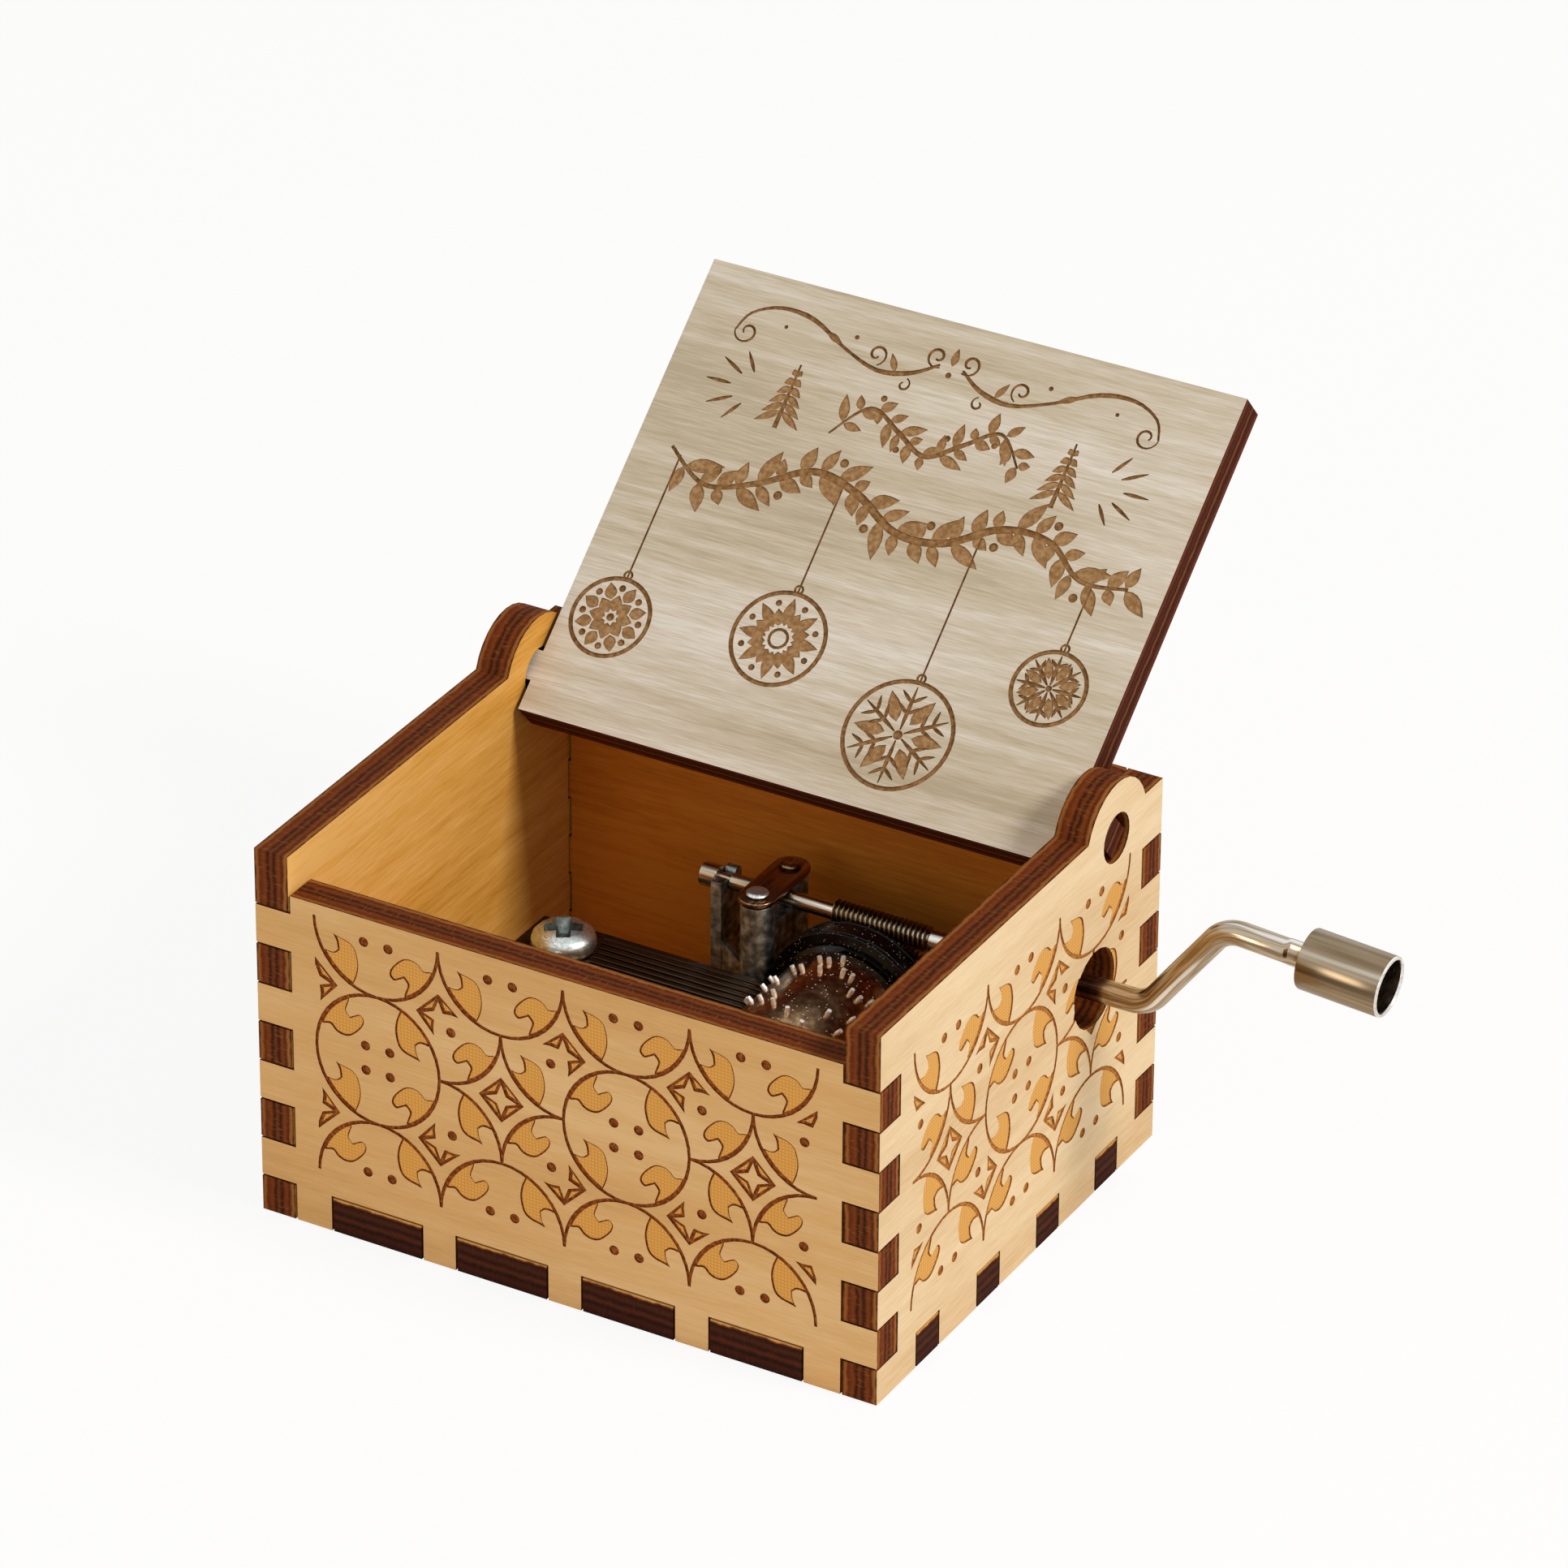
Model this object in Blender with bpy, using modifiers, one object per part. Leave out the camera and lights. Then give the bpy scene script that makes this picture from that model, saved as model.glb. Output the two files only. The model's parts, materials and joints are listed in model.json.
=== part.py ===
"""Hand-cranked music box: a finger-jointed plywood case round a worm-driven comb movement.

Metres, +Z up, +X towards the crank handle, -Y towards the front. The origin is the middle of the underside.
The lid stands open against the back panel, as it does when the box is shown.
"""

import math

import bmesh
import bpy
from mathutils import Matrix, Vector

# Plywood case
CASE_WIDTH = 0.064
CASE_DEPTH = 0.052
WALL_HEIGHT = 0.038
FRONT_DROP = 0.0039
PLY = 0.0035
JOINT_GAP = 0.0002
CORNER_START = 0.0037
CORNER_FINGER = 0.00409
FRONT_TAB = 0.00935
FRONT_TAB_PITCH = 0.01315
SIDE_TAB = 0.00395
SIDE_TAB_PITCH = 0.0112

# Lid and hinge ears
HINGE_FROM_BACK = 0.0088
EAR_RADIUS = 0.0057
PEG_HOLE_RADIUS = 0.00245
PEG_WIDTH = 0.003
PEG_RECESS = 0.0004
LID_TAIL = 0.0045
LID_SIDE_GAP = 0.0005
LID_SETBACK = 0.0004
LID_REST_GAP = 0.0003

# Place of the movement in the case
CYLINDER_FROM_MIDDLE = 0.0088
CYLINDER_ABOVE_FLOOR = 0.01079
CRANK_FROM_BACK = 0.0123
SEAT_GAP = 0.0002
RUN_GAP = 0.0001

# Pinned cylinder and its gear
BARREL_RADIUS = 0.00695
BARREL_WALL = 0.0006
BARREL_MARGIN = 0.0008
PIN_HEIGHT = 0.0005
PIN_RADIUS = 0.00016
PIN_TAPER = 0.7
PIN_ROOT = 0.0003
TUNE_BEATS = 46
ARBOR_RADIUS = 0.001
CAP_THICKNESS = 0.0016
GEAR_TEETH = 85
GEAR_ADDENDUM = 0.0002
GEAR_TIP_WIDTH = 0.00012
GEAR_ROOT_WIDTH = 0.00028
FLANGE_RADIUS = 0.0084
FLANGE_WIDTH = 0.0028
SHOULDER_RADIUS = 0.0073
SHOULDER_WIDTH = 0.0003

# Comb
COMB_TEETH = 18
COMB_PITCH = 0.00085
COMB_SLOT = 0.00026
COMB_LENGTH = 0.024
COMB_THICKNESS = 0.0016
COMB_TOOTH_THICKNESS = 0.0007
COMB_RISE = 0.00195
LONG_TOOTH = 0.0171
TOOTH_STEP = 0.0002
TIP_GAP = 0.00012
WEIGHTED_TEETH = 8
WEIGHT_LENGTH = 0.0028
WEIGHT_DEPTH = 0.0012
WEIGHT_FROM_TIP = 0.001
COMB_SCREW_FROM_HEEL = 0.0046
COMB_SCREW_FROM_REAR = 0.0042
COMB_SCREW_SPACING = 0.0069
COMB_SCREW_RADIUS = 0.0015
COMB_SCREW_LENGTH = 0.0075
COMB_SCREW_HEAD_RADIUS = 0.00303
COMB_SCREW_HEAD_HEIGHT = 0.0022
PAN_CROWN = 0.55
PAN_SHOULDER = 0.85
PAN_SHOULDER_LEVEL = 0.8
PAN_SIDE_LEVEL = 0.45
PAN_FOOT = 0.95
PAN_FOOT_LEVEL = 0.1

# Crank shaft with its worm, and the turning grip
WORM_PITCH = 0.0005
WORM_TURNS = 20
WORM_SHIFT = 0.0013
WORM_CORE_RADIUS = 0.00085
WORM_CREST_RADIUS = 0.00125
WORM_CREST_WIDTH = 0.00009
WORM_ROOT_WIDTH = 0.00026
THREAD_SUNK = 0.00012
MESH_GAP = 0.0001
ROD_RADIUS = 0.00115
JOURNAL_RADIUS = 0.0008
GROOVE_RADIUS = 0.0006
SHOULDER_RELIEF = 0.00003
COLLAR_LENGTH = 0.0018
CRANK_HOLE_RADIUS = 0.0039
CRANK_REACH = 0.0054
ARM_RUN = 0.0076
THROW = 0.0102
BEND_RADIUS = 0.0032
LEG_LENGTH = 0.0063
LEG_DROOP = math.radians(4.0)
CRIMP_LENGTH = 0.0017
CRIMP_THICKNESS = 0.0012
CRIMP_HEIGHT = 0.0028
GRIP_LENGTH = 0.00815
GRIP_RADIUS = 0.00288
GRIP_WALL = 0.0004
GRIP_END_WALL = 0.0008
GRIP_CHAMFER = 0.00015
ROD_HEAD_RADIUS = 0.0017
ROD_HEAD_LENGTH = 0.0008

# Die-cast frame
BED_THICKNESS = 0.0022
BED_CORNER_RADIUS = 0.001
BED_MARGIN = 0.0005
CAST_OVERLAP = 0.0006
LUG_THICKNESS = 0.0014
LUG_RADIUS = 0.0023
BLOCK_MARGIN = 0.0006
BED_WINDOW_WIDTH = 0.012
FORK_FROM_CYLINDER = 0.0152
FORK_THICKNESS = 0.0011
FORK_PRONG = 0.0012
SQUARE_PRONG_RISE = 0.0006
ROUND_PRONG_RISE = 0.0003
POST_FROM_CYLINDER = 0.0101
POST_SPACING = 0.0062
POST_RADIUS = 0.0016
SADDLE_THICKNESS = 0.0026
SADDLE_DROP = 0.0019
RIB_HEIGHT = 0.0114
RIB_FALL = 0.0049
RIB_THICKNESS = 0.001
BOSS_RADIUS = 0.0024
BOSS_HEIGHT = 0.004
BOSS_FROM_CRANK = 0.0179
KEEPER_THICKNESS = 0.0005
KEEPER_END_RADIUS = 0.0018
RIVET_HEAD_RADIUS = 0.00107
RIVET_HEAD_HEIGHT = 0.0003
RIVET_CROWN = 0.7
RIVET_SHANK_RADIUS = 0.00055
RIVET_SHANK_LENGTH = 0.0026
BASE_SCREW_RADIUS = 0.0011
BASE_SCREW_LENGTH = 0.0075
BASE_SCREW_HEAD_RADIUS = 0.0022
BASE_SCREW_HEAD_HEIGHT = 0.0013
BASE_SCREW_SUNK = 0.0002

# Smoothness of round shapes
FINE = 56
MEDIUM = 24
SMALL = 16
WORM_STEPS = 8
PIN_SIDES = 4
WIRE_STEPS = 2
BEND_STEPS = 8
FLAT = math.radians(0.1)
SHARP = math.radians(35)
WELD = 1e-7

# Lines and faces that pieces share
half_width = CASE_WIDTH / 2
half_depth = CASE_DEPTH / 2
inner_x = half_width - PLY
inner_y = half_depth - PLY
hinge_y = half_depth - HINGE_FROM_BACK
front_height = WALL_HEIGHT - FRONT_DROP
hinge_z = front_height + LID_REST_GAP + PLY / 2
cylinder_x = CYLINDER_FROM_MIDDLE
cylinder_z = PLY + CYLINDER_ABOVE_FLOOR
crank_y = half_depth - CRANK_FROM_BACK
gear_pitch_radius = GEAR_TEETH * WORM_PITCH / (2 * math.pi)
gear_tip_radius = gear_pitch_radius + GEAR_ADDENDUM
crank_z = cylinder_z + gear_tip_radius + MESH_GAP + WORM_CORE_RADIUS
gear_root_radius = crank_z - cylinder_z - WORM_CREST_RADIUS - MESH_GAP
worm_low = WORM_SHIFT - WORM_TURNS * WORM_PITCH / 2
worm_high = WORM_SHIFT + WORM_TURNS * WORM_PITCH / 2
gear_width = 2 * (WORM_CREST_RADIUS + MESH_GAP)
gear_front_y = crank_y - gear_width / 2
gear_rear_y = crank_y + gear_width / 2
barrel_rear_y = gear_front_y - FLANGE_WIDTH - SHOULDER_WIDTH - JOINT_GAP
comb_width = COMB_TEETH * COMB_PITCH
barrel_front_y = barrel_rear_y - comb_width - 2 * BARREL_MARGIN
comb_rear_y = barrel_rear_y - BARREL_MARGIN
comb_front_y = comb_rear_y - comb_width
comb_top_z = cylinder_z + COMB_RISE
tooth_rise = COMB_RISE - COMB_TOOTH_THICKNESS
comb_tip_x = cylinder_x - math.sqrt((BARREL_RADIUS + PIN_HEIGHT) ** 2 - tooth_rise**2) - TIP_GAP
comb_heel_x = comb_tip_x - COMB_LENGTH
comb_screw_x = comb_heel_x + COMB_SCREW_FROM_HEEL
comb_screw_ys = (
    comb_rear_y - COMB_SCREW_FROM_REAR,
    comb_rear_y - COMB_SCREW_FROM_REAR - COMB_SCREW_SPACING,
)
bed_z = PLY + SEAT_GAP
bed_top_z = bed_z + BED_THICKNESS
front_lug_y = barrel_front_y - SEAT_GAP - LUG_THICKNESS / 2
rear_lug_y = gear_rear_y + SEAT_GAP + LUG_THICKNESS / 2
shaft_lug_x = cylinder_x + FLANGE_RADIUS + 3 * SEAT_GAP + LUG_THICKNESS / 2
fork_x = cylinder_x - FORK_FROM_CYLINDER
post_x = cylinder_x - POST_FROM_CYLINDER
post_ys = (crank_y - POST_SPACING / 2, crank_y + POST_SPACING / 2)
post_top_z = crank_z + JOURNAL_RADIUS + RUN_GAP - SEAT_GAP
keeper_z = crank_z + JOURNAL_RADIUS + RUN_GAP
base_screw_places = (
    (comb_screw_x, sum(comb_screw_ys) / 2),
    (post_x, crank_y - BOSS_FROM_CRANK),
)


def clear_scene():
    for item in list(bpy.data.objects):
        bpy.data.objects.remove(item, do_unlink=True)


def new_collection(name):
    collection = bpy.data.collections.new(name)
    bpy.context.scene.collection.children.link(collection)
    return collection


def new_material(name, colour, roughness, metallic):
    material = bpy.data.materials.new(name)
    material.use_nodes = True
    shader = material.node_tree.nodes["Principled BSDF"]
    shader.inputs["Base Color"].default_value = (*colour, 1.0)
    shader.inputs["Roughness"].default_value = roughness
    shader.inputs["Metallic"].default_value = metallic
    return material


clear_scene()
PARTS = new_collection("music_box")
CUTTERS = new_collection("cutters")
BIRCH_PLY = new_material("birch_plywood", (0.72, 0.47, 0.21), 0.6, 0.0)
PALE_PLY = new_material("pale_basswood_plywood", (0.62, 0.53, 0.40), 0.6, 0.0)
ZINC = new_material("cast_zinc", (0.36, 0.34, 0.31), 0.45, 1.0)
COMB_STEEL = new_material("hardened_comb_steel", (0.10, 0.09, 0.08), 0.45, 1.0)
NICKEL = new_material("nickel_plated_steel", (0.62, 0.56, 0.47), 0.2, 1.0)
SCREW_ZINC = new_material("zinc_plated_steel", (0.70, 0.72, 0.72), 0.25, 1.0)
BARREL_NICKEL = new_material("nickel_plated_brass", (0.32, 0.24, 0.17), 0.25, 1.0)
BLACK_ACETAL = new_material("black_acetal", (0.012, 0.012, 0.012), 0.4, 0.0)


def add_part(part, name, material):
    """Gives a finished solid its name and material and puts it with the parts."""
    part.name = name
    part.data.name = name
    part.data.materials.clear()
    part.data.materials.append(material)
    return part


def link_mesh(mesh, name="shape"):
    shape = bpy.data.objects.new(name, mesh)
    PARTS.objects.link(shape)
    return shape


def evaluated_mesh(source):
    """The shape's mesh with its modifiers or curve settings worked out, and loose caps welded."""
    bpy.context.view_layer.update()
    graph = bpy.context.evaluated_depsgraph_get()
    mesh = bpy.data.meshes.new_from_object(source.evaluated_get(graph))
    shape = bmesh.new()
    shape.from_mesh(mesh)
    bmesh.ops.remove_doubles(shape, verts=shape.verts, dist=WELD)
    shape.to_mesh(mesh)
    shape.free()
    return mesh


def with_whole_faces(mesh):
    """The mesh with each flat area turned into as few faces as it can be."""
    shape = bmesh.new()
    shape.from_mesh(mesh)
    bmesh.ops.dissolve_limit(shape, angle_limit=FLAT, verts=shape.verts, edges=shape.edges)
    shape.to_mesh(mesh)
    shape.free()
    return mesh


def settle(part):
    """Works out a round part's modifiers and shades it smooth between its sharp edges."""
    part.data = evaluated_mesh(part)
    part.modifiers.clear()
    part.data.shade_smooth()
    part.data.set_sharp_from_angle(angle=SHARP)
    return part


def combine(part, other, operation):
    """Joins another solid to the part, or cuts it away, and keeps that solid with the hidden cutters."""
    step = part.modifiers.new(operation.lower(), "BOOLEAN")
    step.operation = operation
    step.object = other
    step.solver = "EXACT"
    PARTS.objects.unlink(other)
    CUTTERS.objects.link(other)
    other.hide_render = True
    other.display_type = "WIRE"


def join(part, *others):
    for other in others:
        combine(part, other, "UNION")


def cut(part, *others):
    for other in others:
        combine(part, other, "DIFFERENCE")


def arc(centre, radius, start, end, steps):
    """Points along an arc from one angle to another, both ends included."""
    angles = [start + (end - start) * step / steps for step in range(steps + 1)]
    return [Vector((centre[0] + radius * math.cos(a), centre[1] + radius * math.sin(a))) for a in angles]


def circle(centre, radius, steps=MEDIUM):
    return arc(centre, radius, 0, 2 * math.pi, steps)[:-1]


def stepped_edge(start, end, steps, depth):
    """A straight edge that steps inwards, to its left, by depth between each pair of distances."""
    start = Vector(start)
    along = (Vector(end) - start).normalized()
    inward = Vector((-along.y, along.x)) * depth
    points = [start]
    for low, high in steps:
        points += [start + along * low, start + along * low + inward]
        points += [start + along * high + inward, start + along * high]
    return points


def rounded(points, radius, closed=True, steps=6):
    """The line through these points with each corner turned into an arc of this radius."""
    points = [Vector(p) for p in points]
    last = len(points) - 1
    result = []
    for index, corner in enumerate(points):
        if not closed and index in (0, last):
            result.append(corner)
            continue
        back = (points[index - 1] - corner).normalized()
        forth = (points[(index + 1) % len(points)] - corner).normalized()
        half_angle = back.angle(forth) / 2
        centre = corner + (back + forth).normalized() * (radius / math.sin(half_angle))
        first = corner + back * (radius / math.tan(half_angle)) - centre
        final = corner + forth * (radius / math.tan(half_angle)) - centre
        sweep = first.angle(final)
        for step in range(steps + 1):
            share = step / steps
            ray = first * math.sin((1 - share) * sweep) + final * math.sin(share * sweep)
            result.append(centre + ray / math.sin(sweep))
    return result


def plate(outline, thickness, holes=()):
    """A flat sheet of the outline's shape, level and centred on the origin's height."""
    curve = bpy.data.curves.new("outline", "CURVE")
    curve.dimensions = "2D"
    curve.fill_mode = "BOTH"
    curve.extrude = thickness / 2
    for loop in (outline, *holes):
        spline = curve.splines.new("POLY")
        spline.points.add(len(loop) - 1)
        spline.use_cyclic_u = True
        for point, place in zip(spline.points, loop):
            point.co = (place[0], place[1], 0, 1)
    drawn = link_mesh(curve)
    mesh = evaluated_mesh(drawn)
    bpy.data.objects.remove(drawn)
    shape = bmesh.new()
    shape.from_mesh(mesh)
    level = [face for face in shape.faces if len({vert.co.z > 0 for vert in face.verts}) == 1]
    inside = [edge for edge in shape.edges if all(face in level for face in edge.link_faces)]
    bmesh.ops.beautify_fill(shape, faces=level, edges=inside)
    shape.to_mesh(mesh)
    shape.free()
    return link_mesh(with_whole_faces(mesh))


def block(low, high):
    """A box between two corners, with its origin in its middle."""
    low = Vector(low)
    high = Vector(high)
    shape = bmesh.new()
    bmesh.ops.create_cube(shape, size=1, matrix=Matrix.Diagonal((*(high - low), 1)))
    mesh = bpy.data.meshes.new("block")
    shape.to_mesh(mesh)
    shape.free()
    box = link_mesh(mesh)
    box.location = (low + high) / 2
    return box


def turned(profile, steps, ring=False):
    """A solid turned about Z from (radius, height) points that run down its outer side."""
    mesh = bpy.data.meshes.new("profile")
    edges = [(index, index + 1) for index in range(len(profile) - 1)]
    if ring:
        edges.append((len(profile) - 1, 0))
    mesh.from_pydata([(radius, 0, height) for radius, height in profile], edges, [])
    drawn = link_mesh(mesh)
    lathe = drawn.modifiers.new("lathe", "SCREW")
    lathe.steps = steps
    lathe.render_steps = steps
    lathe.use_merge_vertices = True
    lathe.merge_threshold = WELD
    settle(drawn)
    with_whole_faces(drawn.data)
    return drawn


def rod(radius, low, high, steps=SMALL):
    """A plain round bar about Z between two heights."""
    return turned([(0, high), (radius, high), (radius, low), (0, low)], steps)


def tube(points, radius):
    """A round wire along the points."""
    curve = bpy.data.curves.new("wire", "CURVE")
    curve.dimensions = "3D"
    curve.bevel_depth = radius
    curve.bevel_resolution = WIRE_STEPS
    curve.use_fill_caps = True
    spline = curve.splines.new("POLY")
    spline.points.add(len(points) - 1)
    for point, place in zip(spline.points, points):
        point.co = (*place, 1)
    drawn = link_mesh(curve)
    wire = link_mesh(evaluated_mesh(drawn))
    bpy.data.objects.remove(drawn)
    return wire


def along_x(part, place):
    """Lays a part made about Z along +X at this place."""
    part.location = place
    part.rotation_euler = (0, math.pi / 2, 0)
    return part


def along_y(part, place):
    """Lays a part made about Z along +Y at this place."""
    part.location = place
    part.rotation_euler = (-math.pi / 2, 0, 0)
    return part


def facing_front(part, place):
    """Stands a level sheet up, its length along X and its height along Z."""
    part.location = place
    part.rotation_euler = (math.pi / 2, 0, 0)
    return part


def facing_side(part, place):
    """Stands a level sheet up, its length along Y and its height along Z."""
    part.location = place
    part.rotation_euler = (math.pi / 2, 0, math.pi / 2)
    return part


def corner_fingers(height, growth):
    """Height ranges of the fingers that the front and back panels push through the side panels."""
    spans = []
    low = CORNER_START
    while low + CORNER_FINGER < height:
        spans.append((low - growth, low + CORNER_FINGER + growth))
        low += 2 * CORNER_FINGER
    return spans


def tab_spans(length, width, pitch, growth):
    """Ranges, from the middle of an edge, of the bottom panel's tabs along an inner length."""
    count = int((length - width) / pitch) + 1
    middles = [(index - (count - 1) / 2) * pitch for index in range(count)]
    return [(middle - width / 2 - growth, middle + width / 2 + growth) for middle in middles]


def shifted(spans, distance):
    return [(low + distance, high + distance) for low, high in spans]


def reversed_spans(spans, length):
    return [(length - high, length - low) for low, high in reversed(spans)]


def front_or_back_outline(height):
    """The panel between the side panels, with fingers out to their faces and notches for the floor tabs."""
    edge = inner_x - JOINT_GAP
    reach = -(PLY + JOINT_GAP)
    tabs = tab_spans(2 * inner_x, FRONT_TAB, FRONT_TAB_PITCH, JOINT_GAP)
    fingers = corner_fingers(front_height, -JOINT_GAP / 2)
    outline = stepped_edge((-edge, 0), (edge, 0), shifted(tabs, edge), PLY + JOINT_GAP)
    outline += stepped_edge((edge, 0), (edge, height), fingers, reach)
    outline += stepped_edge((edge, height), (-edge, height), [], 0)
    outline += stepped_edge((-edge, height), (-edge, 0), reversed_spans(fingers, height), reach)
    return outline


def side_outline():
    """The side panel, notched for the other panels' fingers and tabs, with the hinge ear on its top edge."""
    depth = PLY + JOINT_GAP
    tabs = tab_spans(2 * inner_y, SIDE_TAB, SIDE_TAB_PITCH, JOINT_GAP)
    fingers = corner_fingers(front_height, JOINT_GAP / 2)
    front_bottom = (-half_depth, 0)
    back_bottom = (half_depth, 0)
    back_top = (half_depth, WALL_HEIGHT)
    front_top = (-half_depth, WALL_HEIGHT)
    ear_start = math.asin((WALL_HEIGHT - hinge_z) / EAR_RADIUS)
    outline = stepped_edge(front_bottom, back_bottom, shifted(tabs, half_depth), depth)
    outline += stepped_edge(back_bottom, back_top, fingers, depth)
    outline.append(Vector(back_top))
    outline += arc((hinge_y, hinge_z), EAR_RADIUS, ear_start, math.pi - ear_start, MEDIUM // 2)
    outline += stepped_edge(front_top, front_bottom, reversed_spans(fingers, WALL_HEIGHT), depth)
    return outline


def make_front_panel():
    panel = plate(front_or_back_outline(front_height), PLY)
    facing_front(panel, (0, -half_depth + PLY / 2, 0))
    return add_part(panel, "front_panel", BIRCH_PLY)


def make_back_panel():
    panel = plate(front_or_back_outline(WALL_HEIGHT), PLY)
    facing_front(panel, (0, half_depth - PLY / 2, 0))
    return add_part(panel, "back_panel", BIRCH_PLY)


def make_side_panels():
    peg_hole = circle((hinge_y, hinge_z), PEG_HOLE_RADIUS)
    crank_hole = circle((crank_y, crank_z), CRANK_HOLE_RADIUS)
    left = plate(side_outline(), PLY, [peg_hole])
    facing_side(left, (-half_width + PLY / 2, 0, 0))
    right = plate(side_outline(), PLY, [peg_hole, crank_hole])
    facing_side(right, (half_width - PLY / 2, 0, 0))
    return add_part(left, "left_side_panel", BIRCH_PLY), add_part(right, "right_side_panel", BIRCH_PLY)


def make_bottom_panel():
    """The floor, with tabs out through all four walls and sunk holes for the screws that hold the movement."""
    edge_x = inner_x - JOINT_GAP
    edge_y = inner_y - JOINT_GAP
    reach = -(PLY + JOINT_GAP)
    front_tabs = shifted(tab_spans(2 * inner_x, FRONT_TAB, FRONT_TAB_PITCH, 0), edge_x)
    side_tabs = shifted(tab_spans(2 * inner_y, SIDE_TAB, SIDE_TAB_PITCH, 0), edge_y)
    corners = [(-edge_x, -edge_y), (edge_x, -edge_y), (edge_x, edge_y), (-edge_x, edge_y)]
    outline = []
    for index, tabs in enumerate((front_tabs, side_tabs, front_tabs, side_tabs)):
        outline += stepped_edge(corners[index], corners[(index + 1) % 4], tabs, reach)
    panel = plate(outline, PLY)
    panel.location.z = PLY / 2
    for place in base_screw_places:
        cut(panel, base_screw_shape(place, SEAT_GAP, open_mouth=True))
    return add_part(panel, "bottom_panel", BIRCH_PLY)


def lid_open_swing():
    """How far the lid turns from shut until its outer face leans on the back panel's top inner edge."""
    stop = Vector((inner_y - hinge_y, WALL_HEIGHT - hinge_z))
    return math.pi - math.atan2(stop.y, stop.x) - math.asin((PLY / 2 + LID_REST_GAP) / stop.length)


def make_lid():
    """The lid lies level in its own frame, turning about X, with a peg at each end of its hinge line."""
    edge = inner_x - LID_SIDE_GAP
    peg = half_width - PEG_RECESS
    front = -(half_depth + hinge_y - LID_SETBACK)
    half_peg = PEG_WIDTH / 2
    right = [(edge, front), (edge, -half_peg), (peg, -half_peg), (peg, half_peg), (edge, half_peg), (edge, LID_TAIL)]
    left = [(-x, y) for x, y in reversed(right)]
    lid = plate(right + left, PLY)
    lid.location = (0, hinge_y, hinge_z)
    lid.rotation_euler = (-lid_open_swing(), 0, 0)
    return add_part(lid, "lid", PALE_PLY)


def bearing_lug(height, hole_radius):
    """A standing lug with a round top and a bearing hole, drawn with the hole at the origin."""
    outline = [Vector((-LUG_RADIUS, -height)), Vector((LUG_RADIUS, -height))]
    outline += arc((0, 0), LUG_RADIUS, 0, math.pi, MEDIUM // 2)
    return plate(outline, LUG_THICKNESS, [circle((0, 0), hole_radius, SMALL)])


def make_bed():
    """The flat bed, open under the cylinder: a broad part under the shaft and a narrower wing for the comb."""
    left = fork_x - FORK_THICKNESS
    right = shaft_lug_x + LUG_THICKNESS / 2 + BED_MARGIN
    front = front_lug_y - LUG_THICKNESS / 2 - BED_MARGIN
    back = post_ys[1] + POST_RADIUS + BED_MARGIN
    outline = [
        (left, front),
        (right, front),
        (right, back),
        (left, back),
        (left, comb_rear_y),
        (comb_heel_x, comb_rear_y),
        (comb_heel_x, comb_front_y),
        (left, comb_front_y),
    ]
    side = BED_WINDOW_WIDTH / 2
    window = [
        (cylinder_x - side, barrel_front_y),
        (cylinder_x + side, barrel_front_y),
        (cylinder_x + side, gear_rear_y),
        (cylinder_x - side, gear_rear_y),
    ]
    bed = plate(rounded(outline, BED_CORNER_RADIUS), BED_THICKNESS, [rounded(window, BED_CORNER_RADIUS)])
    bed.location.z = bed_z + BED_THICKNESS / 2
    return bed


def make_fork():
    """The fork that holds the shaft's grooved end: a square prong in front, a round-topped one behind."""
    slot = GROOVE_RADIUS + RUN_GAP
    foot = bed_top_z - CAST_OVERLAP - crank_z
    outer = slot + FORK_PRONG
    outline = [Vector((-outer, foot)), Vector((outer, foot))]
    outline += arc((slot + FORK_PRONG / 2, ROUND_PRONG_RISE), FORK_PRONG / 2, 0, math.pi, SMALL // 2)
    outline += arc((0, 0), slot, 0, -math.pi, SMALL // 2)
    outline += [Vector((-slot, SQUARE_PRONG_RISE)), Vector((-outer, SQUARE_PRONG_RISE))]
    return facing_side(plate(outline, FORK_THICKNESS), (fork_x, crank_y, crank_z))


def make_rib():
    """The sloping rib that stiffens the fork's front prong against the posts' saddle."""
    foot = bed_top_z - CAST_OVERLAP
    top = bed_top_z + RIB_HEIGHT
    outline = [(fork_x, foot), (post_x, foot), (post_x, top - RIB_FALL), (fork_x, top)]
    prong_y = crank_y - GROOVE_RADIUS - RUN_GAP - FORK_PRONG / 2
    return facing_front(plate(outline, RIB_THICKNESS), (0, prong_y, 0))


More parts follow.
